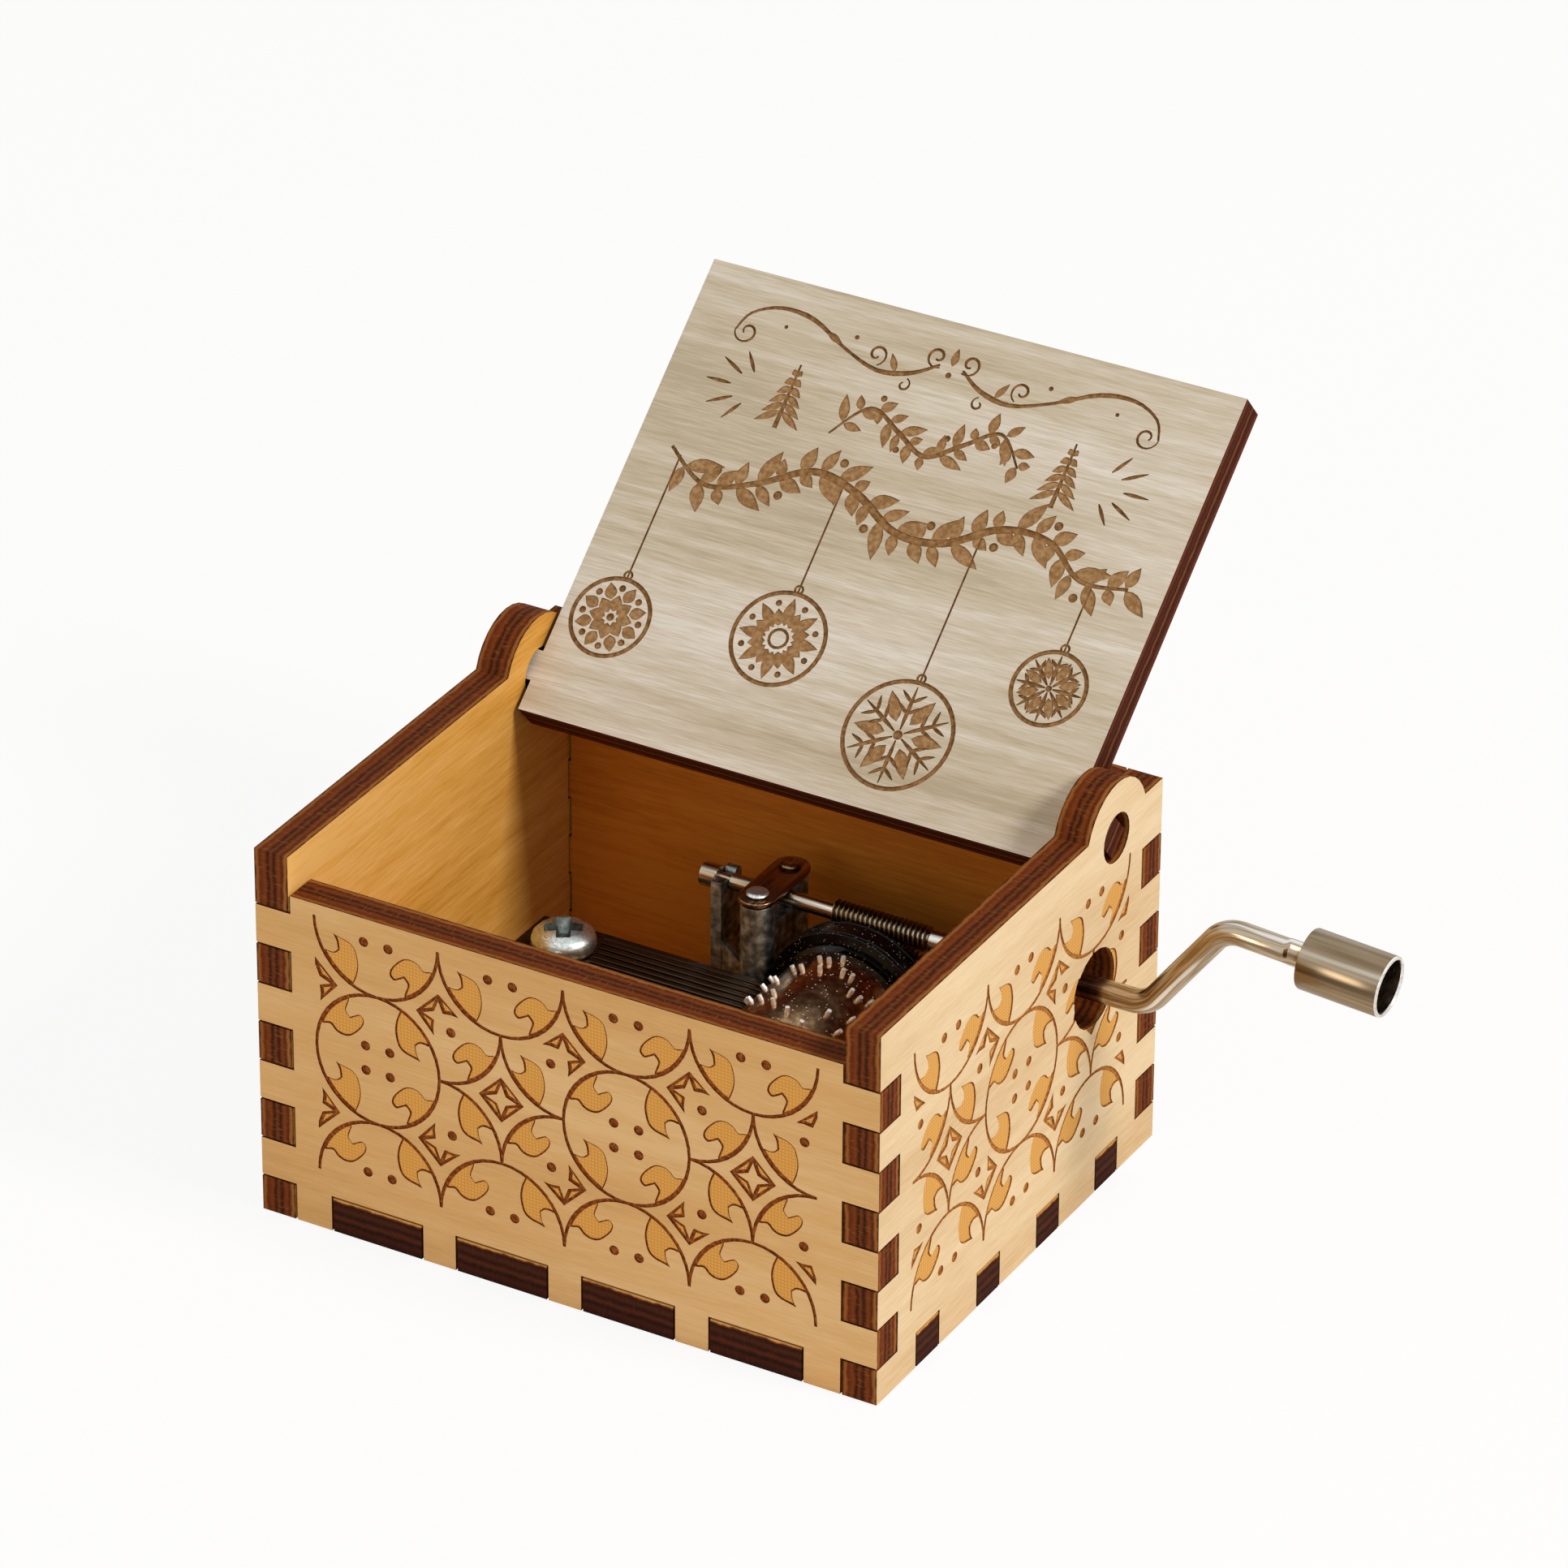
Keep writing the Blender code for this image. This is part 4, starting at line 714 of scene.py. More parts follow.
birch_front = (birch_level_x, leaf_on_front, toasted)
birch_side = (birch_level_y, leaf_on_side, pale_toasted)
for side, node, out, reach, drawing, finishes in (
    ("front", "front_panel", (0, -1, 0), HALF_WIDE, front_drawing, (*birch_front, inner_painted_bounce_x, front_edge)),
    ("back", "back_panel", (0, 1, 0), HALF_WIDE, front_drawing, (*birch_front, back_wall_singe_painted_shade, back_edge)),
    ("right", "right_side_panel", (1, 0, 0), HALF_LONG, side_drawing, (*birch_side, inner_painted_bounce_y, right_edge)),
    ("left", "left_side_panel", (-1, 0, 0), HALF_LONG, side_drawing, (*birch_side, inner_painted_bounce_y, left_edge)),
):
    place = axes(UP.cross(Vector(out)), UP, out, Vector(out) * reach)
    outline = flat_loops(node, place.inverted())
    wall = engraved_sheet("engraved_" + side + "_wall", outline, PLY_MM, place, drawing, finishes, WALL_SINK_MM)
    put_on(wall, "case", "birch_plywood", node)

# %% [markdown]
# ## The floor of the case
# The floor is seen from above between the walls, and its tabs show as burnt ends all round the box.
# Each face of a solid's copy takes its finish by the way it looks: veneer above and below, and char on every edge.

# %% Copies of solids with their own finishes


def smooth(piece, sharp_deg):
    """Shades a piece smooth but for its edges sharper than this."""
    piece.data.shade_smooth()
    piece.data.set_sharp_from_angle(angle=math.radians(sharp_deg))
    return piece


def built(name, shape, finishes=(), place=Matrix()):
    """A bmesh made into a piece of the scene."""
    mesh = bpy.data.meshes.new(name)
    shape.to_mesh(mesh)
    shape.free()
    for finish in finishes:
        mesh.materials.append(finish)
    mesh.transform(place)
    return link(name, mesh)


def merged_copy(node, name, finishes, choose=lambda face: 0):
    """A new piece with a solid's shape as one closed mesh, each face finished as choose says."""
    shape = merged_solid(node)
    for face in shape.faces:
        face.smooth = False
        face.material_index = choose(face)
    return built(name, shape, finishes)


def above_below_or_edge(face):
    """Nought for a face that looks up, one for one that looks down, two for an edge."""
    return 2 if abs(face.normal.z) < 0.5 else int(face.normal.z < 0)


floor_finishes = (inner_painted_bounce_x, birch_level_x, floor_edge)
floor_panel = merged_copy("bottom_panel", "floor_of_case", floor_finishes, above_below_or_edge)
put_on(floor_panel, "case", "birch_plywood", "bottom_panel")
print("the floor has", len(floor_panel.data.polygons), "faces")

# %% [markdown]
# ## Drawings for the lid
# The lid's inner face has a scroll along its top, rays, a garland and four round ornaments that hang on threads.
# A leafy garland waves across its upper half in the same brown.
# Each motif is a rule: petals, rays and branches repeat round a middle, and leaves follow a line.

# %% Small motifs


def ring(centre, radius, width, steps=40):
    """A round line: an outer loop and an inner one that winds the other way."""
    reaches = (radius + width / 2, radius - width / 2)
    outer, inner = (arc(centre, (reach, reach), 0, 360, steps)[:-1] for reach in reaches)
    return "line", [outer, inner[::-1]]


def petal(centre, start, end, width, degrees):
    """A pointed petal that lies along a ray from start to end."""
    along = Vector(at_angle((0, 0), 1, degrees))
    across = to_the_left(along)
    loop = []
    for step in (*range(7), *range(-5, 0)):
        share = abs(step) / 6
        bulge = math.sin(math.pi * share**0.8) * math.copysign(width / 2, step)
        loop.append(tuple(Vector(centre) + along * (start + (end - start) * share) + across * bulge))
    return "scan", [loop]


def ray(centre, start, end, width, degrees):
    """A straight stroke that is thickest near its outer end."""
    line = [at_angle(centre, start + (end - start) * step / 4, degrees) for step in range(5)]
    return "line", [stroke(line, (width * 0.3, width, width * 0.8, width * 0.2))]


def curl(centre, outer, inner, start_deg, turn_deg, width):
    """A spiral stroke that winds inwards."""
    shares = [step / 18 for step in range(19)]
    line = [at_angle(centre, outer + (inner - outer) * share, start_deg + turn_deg * share) for share in shares]
    return "line", [stroke(line, (width * 0.5, width, width, width * 0.6))]


def mirrored(drawing, middle):
    """The same drawing, turned over left to right about a line."""
    return [(kind, [[(2 * middle - u, v) for u, v in loop][::-1] for loop in loops]) for kind, loops in drawing]


print("a petal has", len(petal((0, 0), 0, 4, 1, 90)[1][0]), "corners")

# %% The four hanging ornaments


def hanging_ball(centre, radius, thread_top, inside):
    """A round ornament on its thread; inside says what it holds."""
    u, v = centre
    thread = stroke([(u, v + radius), (u, thread_top)], (0.2, 0.2))
    loops = [ring(centre, radius, 0.44), ("line", [thread]), ring((u, v + radius + 0.42), 0.4, 0.24, 12)]
    return loops + inside(centre, radius)


def rosette(centre, radius):
    """Two rounds of petals about a dot."""
    made = [dot(centre, radius * 0.1)]
    for turn in range(0, 360, 45):
        made.append(petal(centre, radius * 0.15, radius * 0.58, radius * 0.34, turn))
        made.append(petal(centre, radius * 0.46, radius * 0.9, radius * 0.32, turn + 22.5))
        made.append(dot(at_angle(centre, radius * 0.76, turn), radius * 0.09))
    return made


def sunburst(centre, radius):
    """Long and short rays in turn about a ring."""
    made = [ring(centre, radius * 0.2, 0.3, 16)]
    for step in range(16):
        turn = step * 360 / 16
        end = 0.66 if step % 2 else 0.9
        made.append(petal(centre, radius * 0.28, radius * end, radius * 0.26, turn))
        if step % 2:
            made.append(dot(at_angle(centre, radius * 0.78, turn), radius * 0.07))
    return made


def snow_crystal(centre, radius, branches=6, twigs=(0.4, 0.62)):
    """Straight arms with slanted twigs, between short leaves."""
    made = [dot(centre, radius * 0.09)]
    for step in range(branches):
        turn = step * 360 / branches + 90
        made.append(ray(centre, radius * 0.1, radius * 0.92, 0.48, turn))
        for share in twigs:
            root = at_angle(centre, radius * share, turn)
            made += [ray(root, 0, radius * 0.3, 0.42, turn + lean) for lean in (-52, 52)]
        made.append(petal(centre, radius * 0.26, radius * 0.86, radius * 0.26, turn + 180 / branches))
    return made


def small_crystal(centre, radius):
    return snow_crystal(centre, radius, 8, (0.58,))


print("a rosette has", len(rosette((0, 0), 4)), "loops")

# %% The scroll, the rays and the garland
SCROLL_WAVE = ((1.2, 0.2), (3.6, -1.3), (7.0, -1.9), (11.0, -0.6), (15.0, 1.3), (18.6, 1.6), (21.3, 0.4), (22.2, -1.5))
SCROLL_CURLS = (
    (21.0, -1.5, 1.25, 0.3, 0, -400, 0.26),
    (1.7, 0.9, 1.15, 0.25, -120, 420, 0.3),
    (7.6, -0.4, 1.1, 0.25, 250, -400, 0.28),
    (3.9, -2.6, 0.7, 0.2, 100, 330, 0.24),
)


def scroll(middle, level):
    """A long waving scroll with curled ends, drawn once and turned over for its other half."""
    line = [(middle + u, level + v) for u, v in flowing(SCROLL_WAVE, 4)]
    half = [("line", [stroke(line, (0.25, 0.55, 0.3, 0.5, 0.3, 0.22))])]
    half += [curl((middle + u, level + v), *turns) for u, v, *turns in SCROLL_CURLS]
    half += [dot((middle + u, level + v), radius) for u, v, radius in ((10.2, 0.7, 0.24), (17.4, -0.1, 0.2))]
    half.append(petal((middle + 13.2, level + 0.5), 0, 2.2, 0.7, 205))
    half.append(petal((middle + 5.2, level - 1.6), 0, 2.0, 0.7, 60))
    tip = [dot((middle, level - 0.6), 0.3), petal((middle, level + 0.3), 0, 1.9, 0.8, 90)]
    return half + mirrored(half, middle) + tip


def fanned_rays(centre, towards_deg):
    """Five strokes that fly out from a motif."""
    lengths = ((2.0, 4.3), (2.6, 5.2), (3.0, 5.6), (2.6, 5.2), (2.0, 4.3))
    return [ray(centre, *length, 0.42, towards_deg + (step - 2) * 27) for step, length in enumerate(lengths)]


def fir_tree(foot, height):
    """A small fir: a stem and pairs of boughs that grow shorter upwards."""
    u, v = foot
    made = [("line", [stroke([(u, v), (u, v + height)], (0.5, 0.2))])]
    for step in range(6):
        level = v + height * (0.16 + 0.14 * step)
        reach = height * 0.42 * (1 - step / 6.5)
        made += [petal((u, level + reach * 0.25), 0, reach, 0.75, 270 + slant) for slant in (-58, 58)]
    return made


def leafy_branch(points, leaf, gap, width):
    """A waving stem with a leaf to each side at every gap, and berries between them."""
    line = flowing(points, 8)
    made = [("line", [stroke(line, (width * 0.4, width, width, width * 0.4))])]
    run = 0.0
    count = 0
    for before, here in zip(line, line[1:]):
        run += (Vector(here) - Vector(before)).length
        if run >= gap:
            run = 0.0
            count += 1
            along = math.degrees(math.atan2(here[1] - before[1], here[0] - before[0]))
            side = 1 if count % 2 else -1
            size = leaf * (0.82 + 0.18 * math.sin(count * 1.7))
            made.append(petal(here, 0.15, size, leaf * 0.36, along + side * 48))
            made.append(petal(here, 0.15, size * 0.72, leaf * 0.3, along - side * 62))
            if count % 3 == 0:
                made.append(dot(at_angle(here, leaf * 0.42, along + side * 100), leaf * 0.11))
    return made


SHORT_STEM = ((-9.8, 29.2), (-6.8, 32.6), (-3.2, 31.0), (0.2, 29.4), (3.4, 31.4), (6.6, 33.4), (9.4, 30.6))
LONG_STEM = (
    *((-24.2, 24.0), (-19.6, 21.2), (-14.6, 22.6), (-9.6, 25.2), (-4.6, 24.2), (0.4, 21.6)),
    *((5.4, 21.8), (10.4, 24.6), (15.4, 24.6), (19.6, 21.8), (24.4, 22.2)),
)
BALLS = (
    ((-23.0, 6.4), 3.9, 23.4, rosette),
    ((-6.2, 8.8), 4.6, 24.6, sunburst),
    ((8.8, 3.1), 5.3, 23.8, snow_crystal),
    ((20.9, 11.2), 3.6, 21.8, small_crystal),
)
inner_lid_drawing = scroll(-0.8, 38.2)
inner_lid_drawing += fanned_rays((-18.2, 31.4), 180) + fanned_rays((17.2, 31.0), 0)
inner_lid_drawing += fir_tree((-15.2, 28.3), 6.6) + fir_tree((14.0, 27.8), 6.6)
inner_lid_drawing += leafy_branch(SHORT_STEM, 3.0, 1.5, 0.5) + leafy_branch(LONG_STEM, 4.1, 1.75, 0.8)
for ball in BALLS:
    inner_lid_drawing += hanging_ball(*ball)
print("loops on the lid's inner face:", len(inner_lid_drawing))

# %% [markdown]
# The lid's outer face, which shows when the box is shut, has a border of toasted tiles round four fans.

# %% The outer face's border and fans
TILE_LONG, TILE_WIDE, TILE_GAP = 7.1, 2.2, 0.3
ROUND_GAP, SECOND_START = 0.35, 3.4
SHORTEST_TILE = 2.0
MIDDLE = (0, 21.5)


def tile(low, high):
    return "scan", [[low, (high[0], low[1]), high, (low[0], high[1])]]


def tiled_border(half_u, low_v, high_v):
    """Two rounds of tiles set like bricks between two thin lines."""
    made = []
    for inset_by, start in ((0.0, 0.0), (TILE_WIDE + ROUND_GAP, SECOND_START)):
        left, right = -half_u + inset_by, half_u - inset_by
        low, high = low_v + inset_by, high_v - inset_by
        u = left + start * 0.5
        while u + SHORTEST_TILE < right:
            end = min(u + TILE_LONG, right) - TILE_GAP
            made += [tile((u, foot), (end, foot + TILE_WIDE)) for foot in (low, high - TILE_WIDE)]
            u += TILE_LONG
        v = low + TILE_WIDE + ROUND_GAP
        while v + SHORTEST_TILE < high - TILE_WIDE:
            end = min(v + TILE_LONG, high - TILE_WIDE - 0.05) - TILE_GAP
            made += [tile((foot, v), (foot + TILE_WIDE, end)) for foot in (left, right - TILE_WIDE)]
            v += TILE_LONG
    return made


def fan(centre, towards_deg, radius):
    """Spokes that spread from a middle between two arcs."""
    turns = [towards_deg + (step - 6) * 17 for step in range(13)]
    made = [ray(centre, radius * 0.42, radius * 0.92, 0.4, turn) for turn in turns]
    for reach in (radius * 0.34, radius * 1.0):
        line = arc(centre, (reach, reach), towards_deg - 112, towards_deg + 112, 24)
        made.append(("line", [stroke(line, (0.2, 0.3, 0.3, 0.2))]))
    return [*made, dot(centre, radius * 0.14)]


outer_lid_drawing = tiled_border(26.4, 1.4, 41.6)
for direction, reach, radius in ((0, 9.6, 7.4), (90, 7.6, 6.2), (180, 9.6, 7.4), (270, 7.6, 6.2)):
    outer_lid_drawing += fan(at_angle(MIDDLE, reach, direction), direction, radius)
outer_lid_drawing += [petal(MIDDLE, 0.8, 3.0 if turn % 90 == 0 else 6.6, 0.9, turn) for turn in range(0, 360, 45)]
outer_lid_drawing += [dot((step - 17, v), 0.18) for step in range(35) for v in (7.3, 35.6)]
print("loops on the lid's outer face:", len(outer_lid_drawing))

# %% [markdown]
# ## The lid
# The lid is made level, as it lies when shut, and turned up about its hinge line to where its solid leans.
# It is built of two layers that meet in the middle of its edge, so that both faces can be engraved.

# %% Make the lid
LID_REST_UP, LID_REST_BACK, LID_REST_GAP = 1.85, 5.3, 2.05
LID_SINK_MM = (0.0, 0.1, 0.16)
rest_corner = math.atan2(LID_REST_UP, LID_REST_BACK)
LID_SWING = math.pi - rest_corner - math.asin(LID_REST_GAP / math.hypot(LID_REST_UP, LID_REST_BACK))
print("the lid leans", round(math.degrees(LID_SWING), 2), "degrees from shut")
lid_turn = Matrix.Translation(Vector(joints["lid_hinge"]["pos_m"])) @ Matrix.Rotation(-LID_SWING, 4, "X")
lid_groove = toasted_groove("toasted_basswood_groove", ("#7C5832", "#916C43", "#A68056"), 0.5)
lid_scan = toasted_groove("scanned_basswood", ("#8E6B44", "#A17C53", "#B39066"), 0.45)
tile_scan = toasted_groove("scanned_birch_tile", ("#B87A42", "#C88B52", "#D39A62"), 0.5)
tile_line = toasted_groove("toasted_birch_line", ("#4A3A1E", "#5E4A28", "#745B34"), 0.5)
lid_edge = charred_edge("charred_edge_lid", "Z", -PLY_MM / 2, lid_turn.inverted(), LID_STOPS, "#5C2A12")


def lid_layer(name, along, out, drawing, finishes):
    """One half of the lid's thickness, engraved on its outer side."""
    face = lid_turn @ axes(along, (0, -1, 0), out, Vector(out) * PLY_MM / 2)
    outline = flat_loops("lid", face.inverted())
    return engraved_sheet(name, outline, PLY_MM / 2, face, drawing, finishes, LID_SINK_MM)


def joined(name, pieces):
    """Several pieces made one object, each keeping its own finishes."""
    finishes = list(dict.fromkeys(finish for piece in pieces for finish in piece.data.materials))
    shape = bmesh.new()
    for piece in pieces:
        numbers = [finishes.index(finish) for finish in piece.data.materials]
        first = len(shape.faces)
        shape.from_mesh(piece.data)
        shape.faces.ensure_lookup_table()
        for face in shape.faces[first:]:
            face.material_index = numbers[face.material_index]
        bpy.data.objects.remove(piece)
    return built(name, shape, finishes)


inner_finishes = (basswood, lid_scan, lid_groove, basswood, lid_edge)
outer_finishes = (birch_lid, tile_scan, tile_line, birch_lid, lid_edge)
inner_layer = lid_layer("lid_inner_layer", (1, 0, 0), (0, 0, -1), inner_lid_drawing, inner_finishes)
outer_layer = lid_layer("lid_outer_layer", (-1, 0, 0), (0, 0, 1), outer_lid_drawing, outer_finishes)
engraved_lid = put_on(joined("engraved_lid", [inner_layer, outer_layer]), "lid", "pale_basswood_plywood", "lid")
print("the lid has", len(engraved_lid.data.polygons), "faces")

# %% [markdown]
# ## Metals and plastic of the movement
# The frame is die-cast zinc, dull and slightly rough. The comb is hardened steel, ground along its teeth and oiled.
# The crank is drawn steel under nickel, so its streaks run along the wire, round the bends as well.
# Those streaks read a map that every turned or drawn piece carries: once round for the first number,
# and millimetres along for the second. The gear is black acetal as it leaves the mould.
# Fine specks of dust catch the light on it and on the barrel.

# %% Finishes of the movement
THREE_PLACES = (0.3, 0.5, 0.7)


def mottle(tree, shader, pattern, stops, low, high):
    """Lets a metal's colour and its roughness, between low and high, follow one pattern."""
    colour = add_node(tree, "ShaderNodeValToRGB", {"Fac": pattern}, stops)
    rough = add_node(tree, "ShaderNodeMapRange", {"Value": pattern, "To Min": low, "To Max": high})
    fill(tree, shader, {"Base Color": colour, "Roughness": rough})


def cast_metal(name, tones, grain_mm, roughness):
    """Die-cast metal: cloudy tones and a fine sand-like grain."""
    material, tree, shader, place = start_finish(name, roughness, metallic=1.0)
    clouds = add_node(tree, "ShaderNodeTexNoise", {"Vector": place, "Scale": 1100.0, "Detail": 5.0})
    grain = add_node(tree, "ShaderNodeTexNoise", {"Vector": place, "Scale": 1000 / grain_mm, "Detail": 2.0})
    mottle(tree, shader, clouds, zip(THREE_PLACES, tones), roughness - 0.1, roughness + 0.14)
    bump = add_node(tree, "ShaderNodeBump", {"Height": grain, "Strength": 0.8, "Distance": 0.05 * MM})
    fill(tree, shader, {"Normal": bump})
    return material


def ground_metal(name, along, tones, streak_mm, roughness):
    """Metal ground or brushed along one axis."""
    material, tree, shader, place = start_finish(name, roughness, metallic=1.0)
    streaks = stretched_noise(tree, place, per_metre(12, streak_mm, along), Detail=3.0)
    mottle(tree, shader, streaks, zip(THREE_PLACES, tones), roughness - 0.08, roughness + 0.12)
    bump = add_node(tree, "ShaderNodeBump", {"Height": streaks, "Strength": 0.5, "Distance": 0.006 * MM})
    fill(tree, shader, {"Normal": bump})
    return material


def drawn_metal(name, stops, around, along_mm, roughness):
    """Plated metal with streaks along its length, read from the map round and along the piece."""
    material, tree, shader, place = start_finish(name, roughness, metallic=1.0, source="UV")
    streaks = stretched_noise(tree, place, (around, 1 / along_mm, 1), Detail=3.0, Roughness=0.6)
    mottle(tree, shader, streaks, stops, roughness - 0.06, roughness + 0.16)
    bump = add_node(tree, "ShaderNodeBump", {"Height": streaks, "Strength": 0.35, "Distance": 0.008 * MM})
    fill(tree, shader, {"Normal": bump})
    return material


def dust(tree, place, scale, core):
    """Round specks with this bright core: a share for each place, and a random colour for each speck."""
    cells = add_node(tree, "ShaderNodeTexVoronoi", {"Vector": place, "Scale": scale})
    near = {"Value": cells, "From Min": core, "From Max": core + 0.1, "To Min": 1.0, "To Max": 0.0}
    return add_node(tree, "ShaderNodeMapRange", near), cells.outputs["Color"]


def specked_metal(name, stops, speck, roughness):
    """Thin, slightly grainy plating with specks of dust, which are no metal."""
    material, tree, shader, place = start_finish(name, roughness, metallic=1.0)
    clouds = add_node(tree, "ShaderNodeTexNoise", {"Vector": place, "Scale": 1500.0, "Detail": 5.0})
    colour = add_node(tree, "ShaderNodeValToRGB", {"Fac": clouds}, stops)
    near, chance = dust(tree, place, 2600.0, 0.12)
    lot = add_node(tree, "ShaderNodeSeparateXYZ", {0: chance})
    some = add_node(tree, "ShaderNodeMath", {0: lot, 1: 0.5}, operation="GREATER_THAN")
    share = add_node(tree, "ShaderNodeMath", {0: near, 1: some}, operation="MULTIPLY")
    mixed = add_node(tree, "ShaderNodeMix", {0: share, 6: colour, 7: linear(speck)}, data_type="RGBA")
    bare = add_node(tree, "ShaderNodeMath", {0: 1.0, 1: share}, operation="SUBTRACT")
    bump = add_node(tree, "ShaderNodeBump", {"Height": clouds, "Strength": 0.4, "Distance": 0.006 * MM})
    fill(tree, shader, {"Metallic": bare, "Base Color": mixed.outputs[2], "Normal": bump})
    return material


def moulded_acetal(name, colour, speck, speck_mm):
    """Satin plastic with specks of dust."""
    material, tree, shader, place = start_finish(name, 0.26, 0.3)
    near, _ = dust(tree, place, 1000 / speck_mm, 0.1)
    mixed = add_node(tree, "ShaderNodeMix", {0: near, 6: linear(colour), 7: linear(speck)}, data_type="RGBA")
    skin = add_node(tree, "ShaderNodeTexNoise", {"Vector": place, "Scale": 2600.0, "Detail": 2.0})
    bump = add_node(tree, "ShaderNodeBump", {"Height": skin, "Strength": 0.5, "Distance": 0.01 * MM})
    fill(tree, shader, {"Base Color": mixed.outputs[2], "Normal": bump})
    return material


NICKEL_STOPS = (
    *((0.30, "#4E4034"), (0.40, "#8C7860"), (0.47, "#BDAE98")),
    *((0.53, "#927C5C"), (0.60, "#D8D3CA"), (0.68, "#F5F3F0")),
)
DARK_NICKEL_STOPS = ((0.3, "#86684A"), (0.45, "#A07E5C"), (0.58, "#BC9A74"), (0.7, "#D6B892"))
GRIP_STOPS = ((0.3, "#4C3E2E"), (0.44, "#7C6A52"), (0.54, "#9A8970"), (0.64, "#BDB4A4"), (0.72, "#E4DED4"))
BRIGHT_STOPS = ((0.3, "#98A3A2"), (0.45, "#DCE2DE"), (0.56, "#B4BEBC"), (0.64, "#F0F4F0"), (0.75, "#76807F"))
cast_zinc = cast_metal("die_cast_zinc", ("#525856", "#8C9596", "#C6D0D6"), 0.14, 0.32)
comb_steel = ground_metal("hardened_comb_steel", "X", ("#33261A", "#4A392B", "#66523F"), 0.12, 0.34)
drawn_nickel = drawn_metal("nickel_plated_drawn_wire", NICKEL_STOPS, 6, 30.0, 0.16)
turned_nickel = drawn_metal("nickel_plated_turned_grip", GRIP_STOPS, 9, 60.0, 0.18)
barrel_nickel = specked_metal("thin_nickel_over_brass", DARK_NICKEL_STOPS, "#FFFAF0", 0.2)
bright_zinc = drawn_metal("bright_zinc_plating", BRIGHT_STOPS, 12, 0.7, 0.3)
browned_nickel = ground_metal("browned_nickel_plate", "Y", ("#6A4C36", "#8A6A4E", "#AC8C6C"), 0.3, 0.26)
worm_nickel = ground_metal("nickel_plated_worm", "X", ("#54402C", "#76603F", "#9C845E"), 0.4, 0.3)
screw_shank_zinc = cast_metal("zinc_plated_base_screw", ("#B4B9BB", "#CDD2D3", "#E2E5E4"), 0.3, 0.28)
pin_steel = ground_metal("bright_pin_steel", "Y", ("#F4F0E8", "#FBF8F2", "#FFFFFC"), 0.4, 0.5)
# Painted shade: a darker zinc for the walls of the screws' cross recess.
darker_zinc_painted_shade = cast_metal("recess_walls_painted_shade", ("#434B48", "#69726E", "#959D98"), 0.2, 0.42)
# Painted shade: a nearly black finish for the inside of the grip's tube.
painted_shade_bore_steel = cast_metal("steel_bore_painted_shade", ("#1E1712", "#2C231B", "#3C3127"), 0.3, 0.4)
# Painted highlight: a nearly white finish for the grip's open rim.
painted_highlight_nickel = ground_metal("nickel_rim_painted_highlight", "Y", ("#CFCBC4", "#E6E3DE", "#FAF9F6"), 0.3, 0.22)
black_acetal = moulded_acetal("moulded_black_acetal", "#040303", "#B2AEA6", 0.42)
print("metals and plastic are ready")

# %% [markdown]
# ## Turned pieces
# Screws, the barrel, the arbor and the grip are turned, and the crank is a bent rod, so one helper covers a row of
# rings with a closed skin. It writes the map that the drawn finishes read, and a ring of one point closes a pole.

# %% Helpers that skin rings and spin a profile


def skinned(name, rings, finish, closed=False, sharp_deg=32, place=Matrix()):
    """A closed piece over a row of rings, each given as the millimetres along so far and its points in metres."""
    shape = bmesh.new()
    around = shape.loops.layers.uv.new("wrap")
    steps = max(len(points) for _, points in rings)
    rows = []
    for far, points in rings:
        row = [shape.verts.new(point) for point in points]
        rows.append((row * (steps // len(row)), far))
    if closed:
        rows.append((rows[0][0], rings[-1][0]))
    for (low, low_far), (high, high_far) in zip(rows, rows[1:]):
        for step in range(steps):
            after = (step + 1) % steps
            corners = [(low[step], step, low_far), (low[after], step + 1, low_far)]
            corners += [(high[after], step + 1, high_far), (high[step], step, high_far)]
            kept = []
            for corner in corners:
                if all(corner[0] is not other[0] for other in kept):
                    kept.append(corner)
            if len(kept) > 2:
                face = shape.faces.new([corner[0] for corner in kept])
                for loop, (_, turn, far) in zip(face.loops, kept):
                    loop[around].uv = (turn / steps, far)
    bmesh.ops.recalc_face_normals(shape, faces=shape.faces)
    return smooth(built(name, shape, (finish,), place), sharp_deg)


def full_turn(steps, radius):
    """The angles round a ring, or a single one where it has shrunk to a pole."""
    return [2 * math.pi * step / steps for step in range(steps if radius > 1e-6 else 1)]


def spun(name, profile, place, finish, steps=96, closed=False):
    """A closed piece spun from (radius, height) points in millimetres; place turns its Z and moves it."""
    rings = []
    far = 0.0
    for index, (radius, height) in enumerate(profile):
        if index:
            far += math.hypot(radius - profile[index - 1][0], height - profile[index - 1][1])
        flat = [(radius * math.cos(turn) * MM, radius * math.sin(turn) * MM) for turn in full_turn(steps, radius)]
        rings.append((far, [(x, y, height * MM) for x, y in flat]))
    return skinned(name, rings, finish, closed, place=place)


def upright(x_mm, y_mm, z_mm=0.0):
    return Matrix.Translation(Vector((x_mm, y_mm, z_mm)) * MM)


def lying_back(x_mm, y_mm, z_mm):
    """Turns a piece made about Z to lie along +Y."""
    return upright(x_mm, y_mm, z_mm) @ Matrix.Rotation(-math.pi / 2, 4, "X")


print("a ring of the barrel has", len(full_turn(144, 1)), "points and a pole has", len(full_turn(144, 0)))

# %% [markdown]
# ## The comb's screws
# Two pan-head screws hold the comb. The head is a low dome with a cross recess, and its bright zinc has a blue cast.
# The recess is cut with one tapered cross, as the heading tool does, and its walls are painted a darker zinc as painted
# shade.

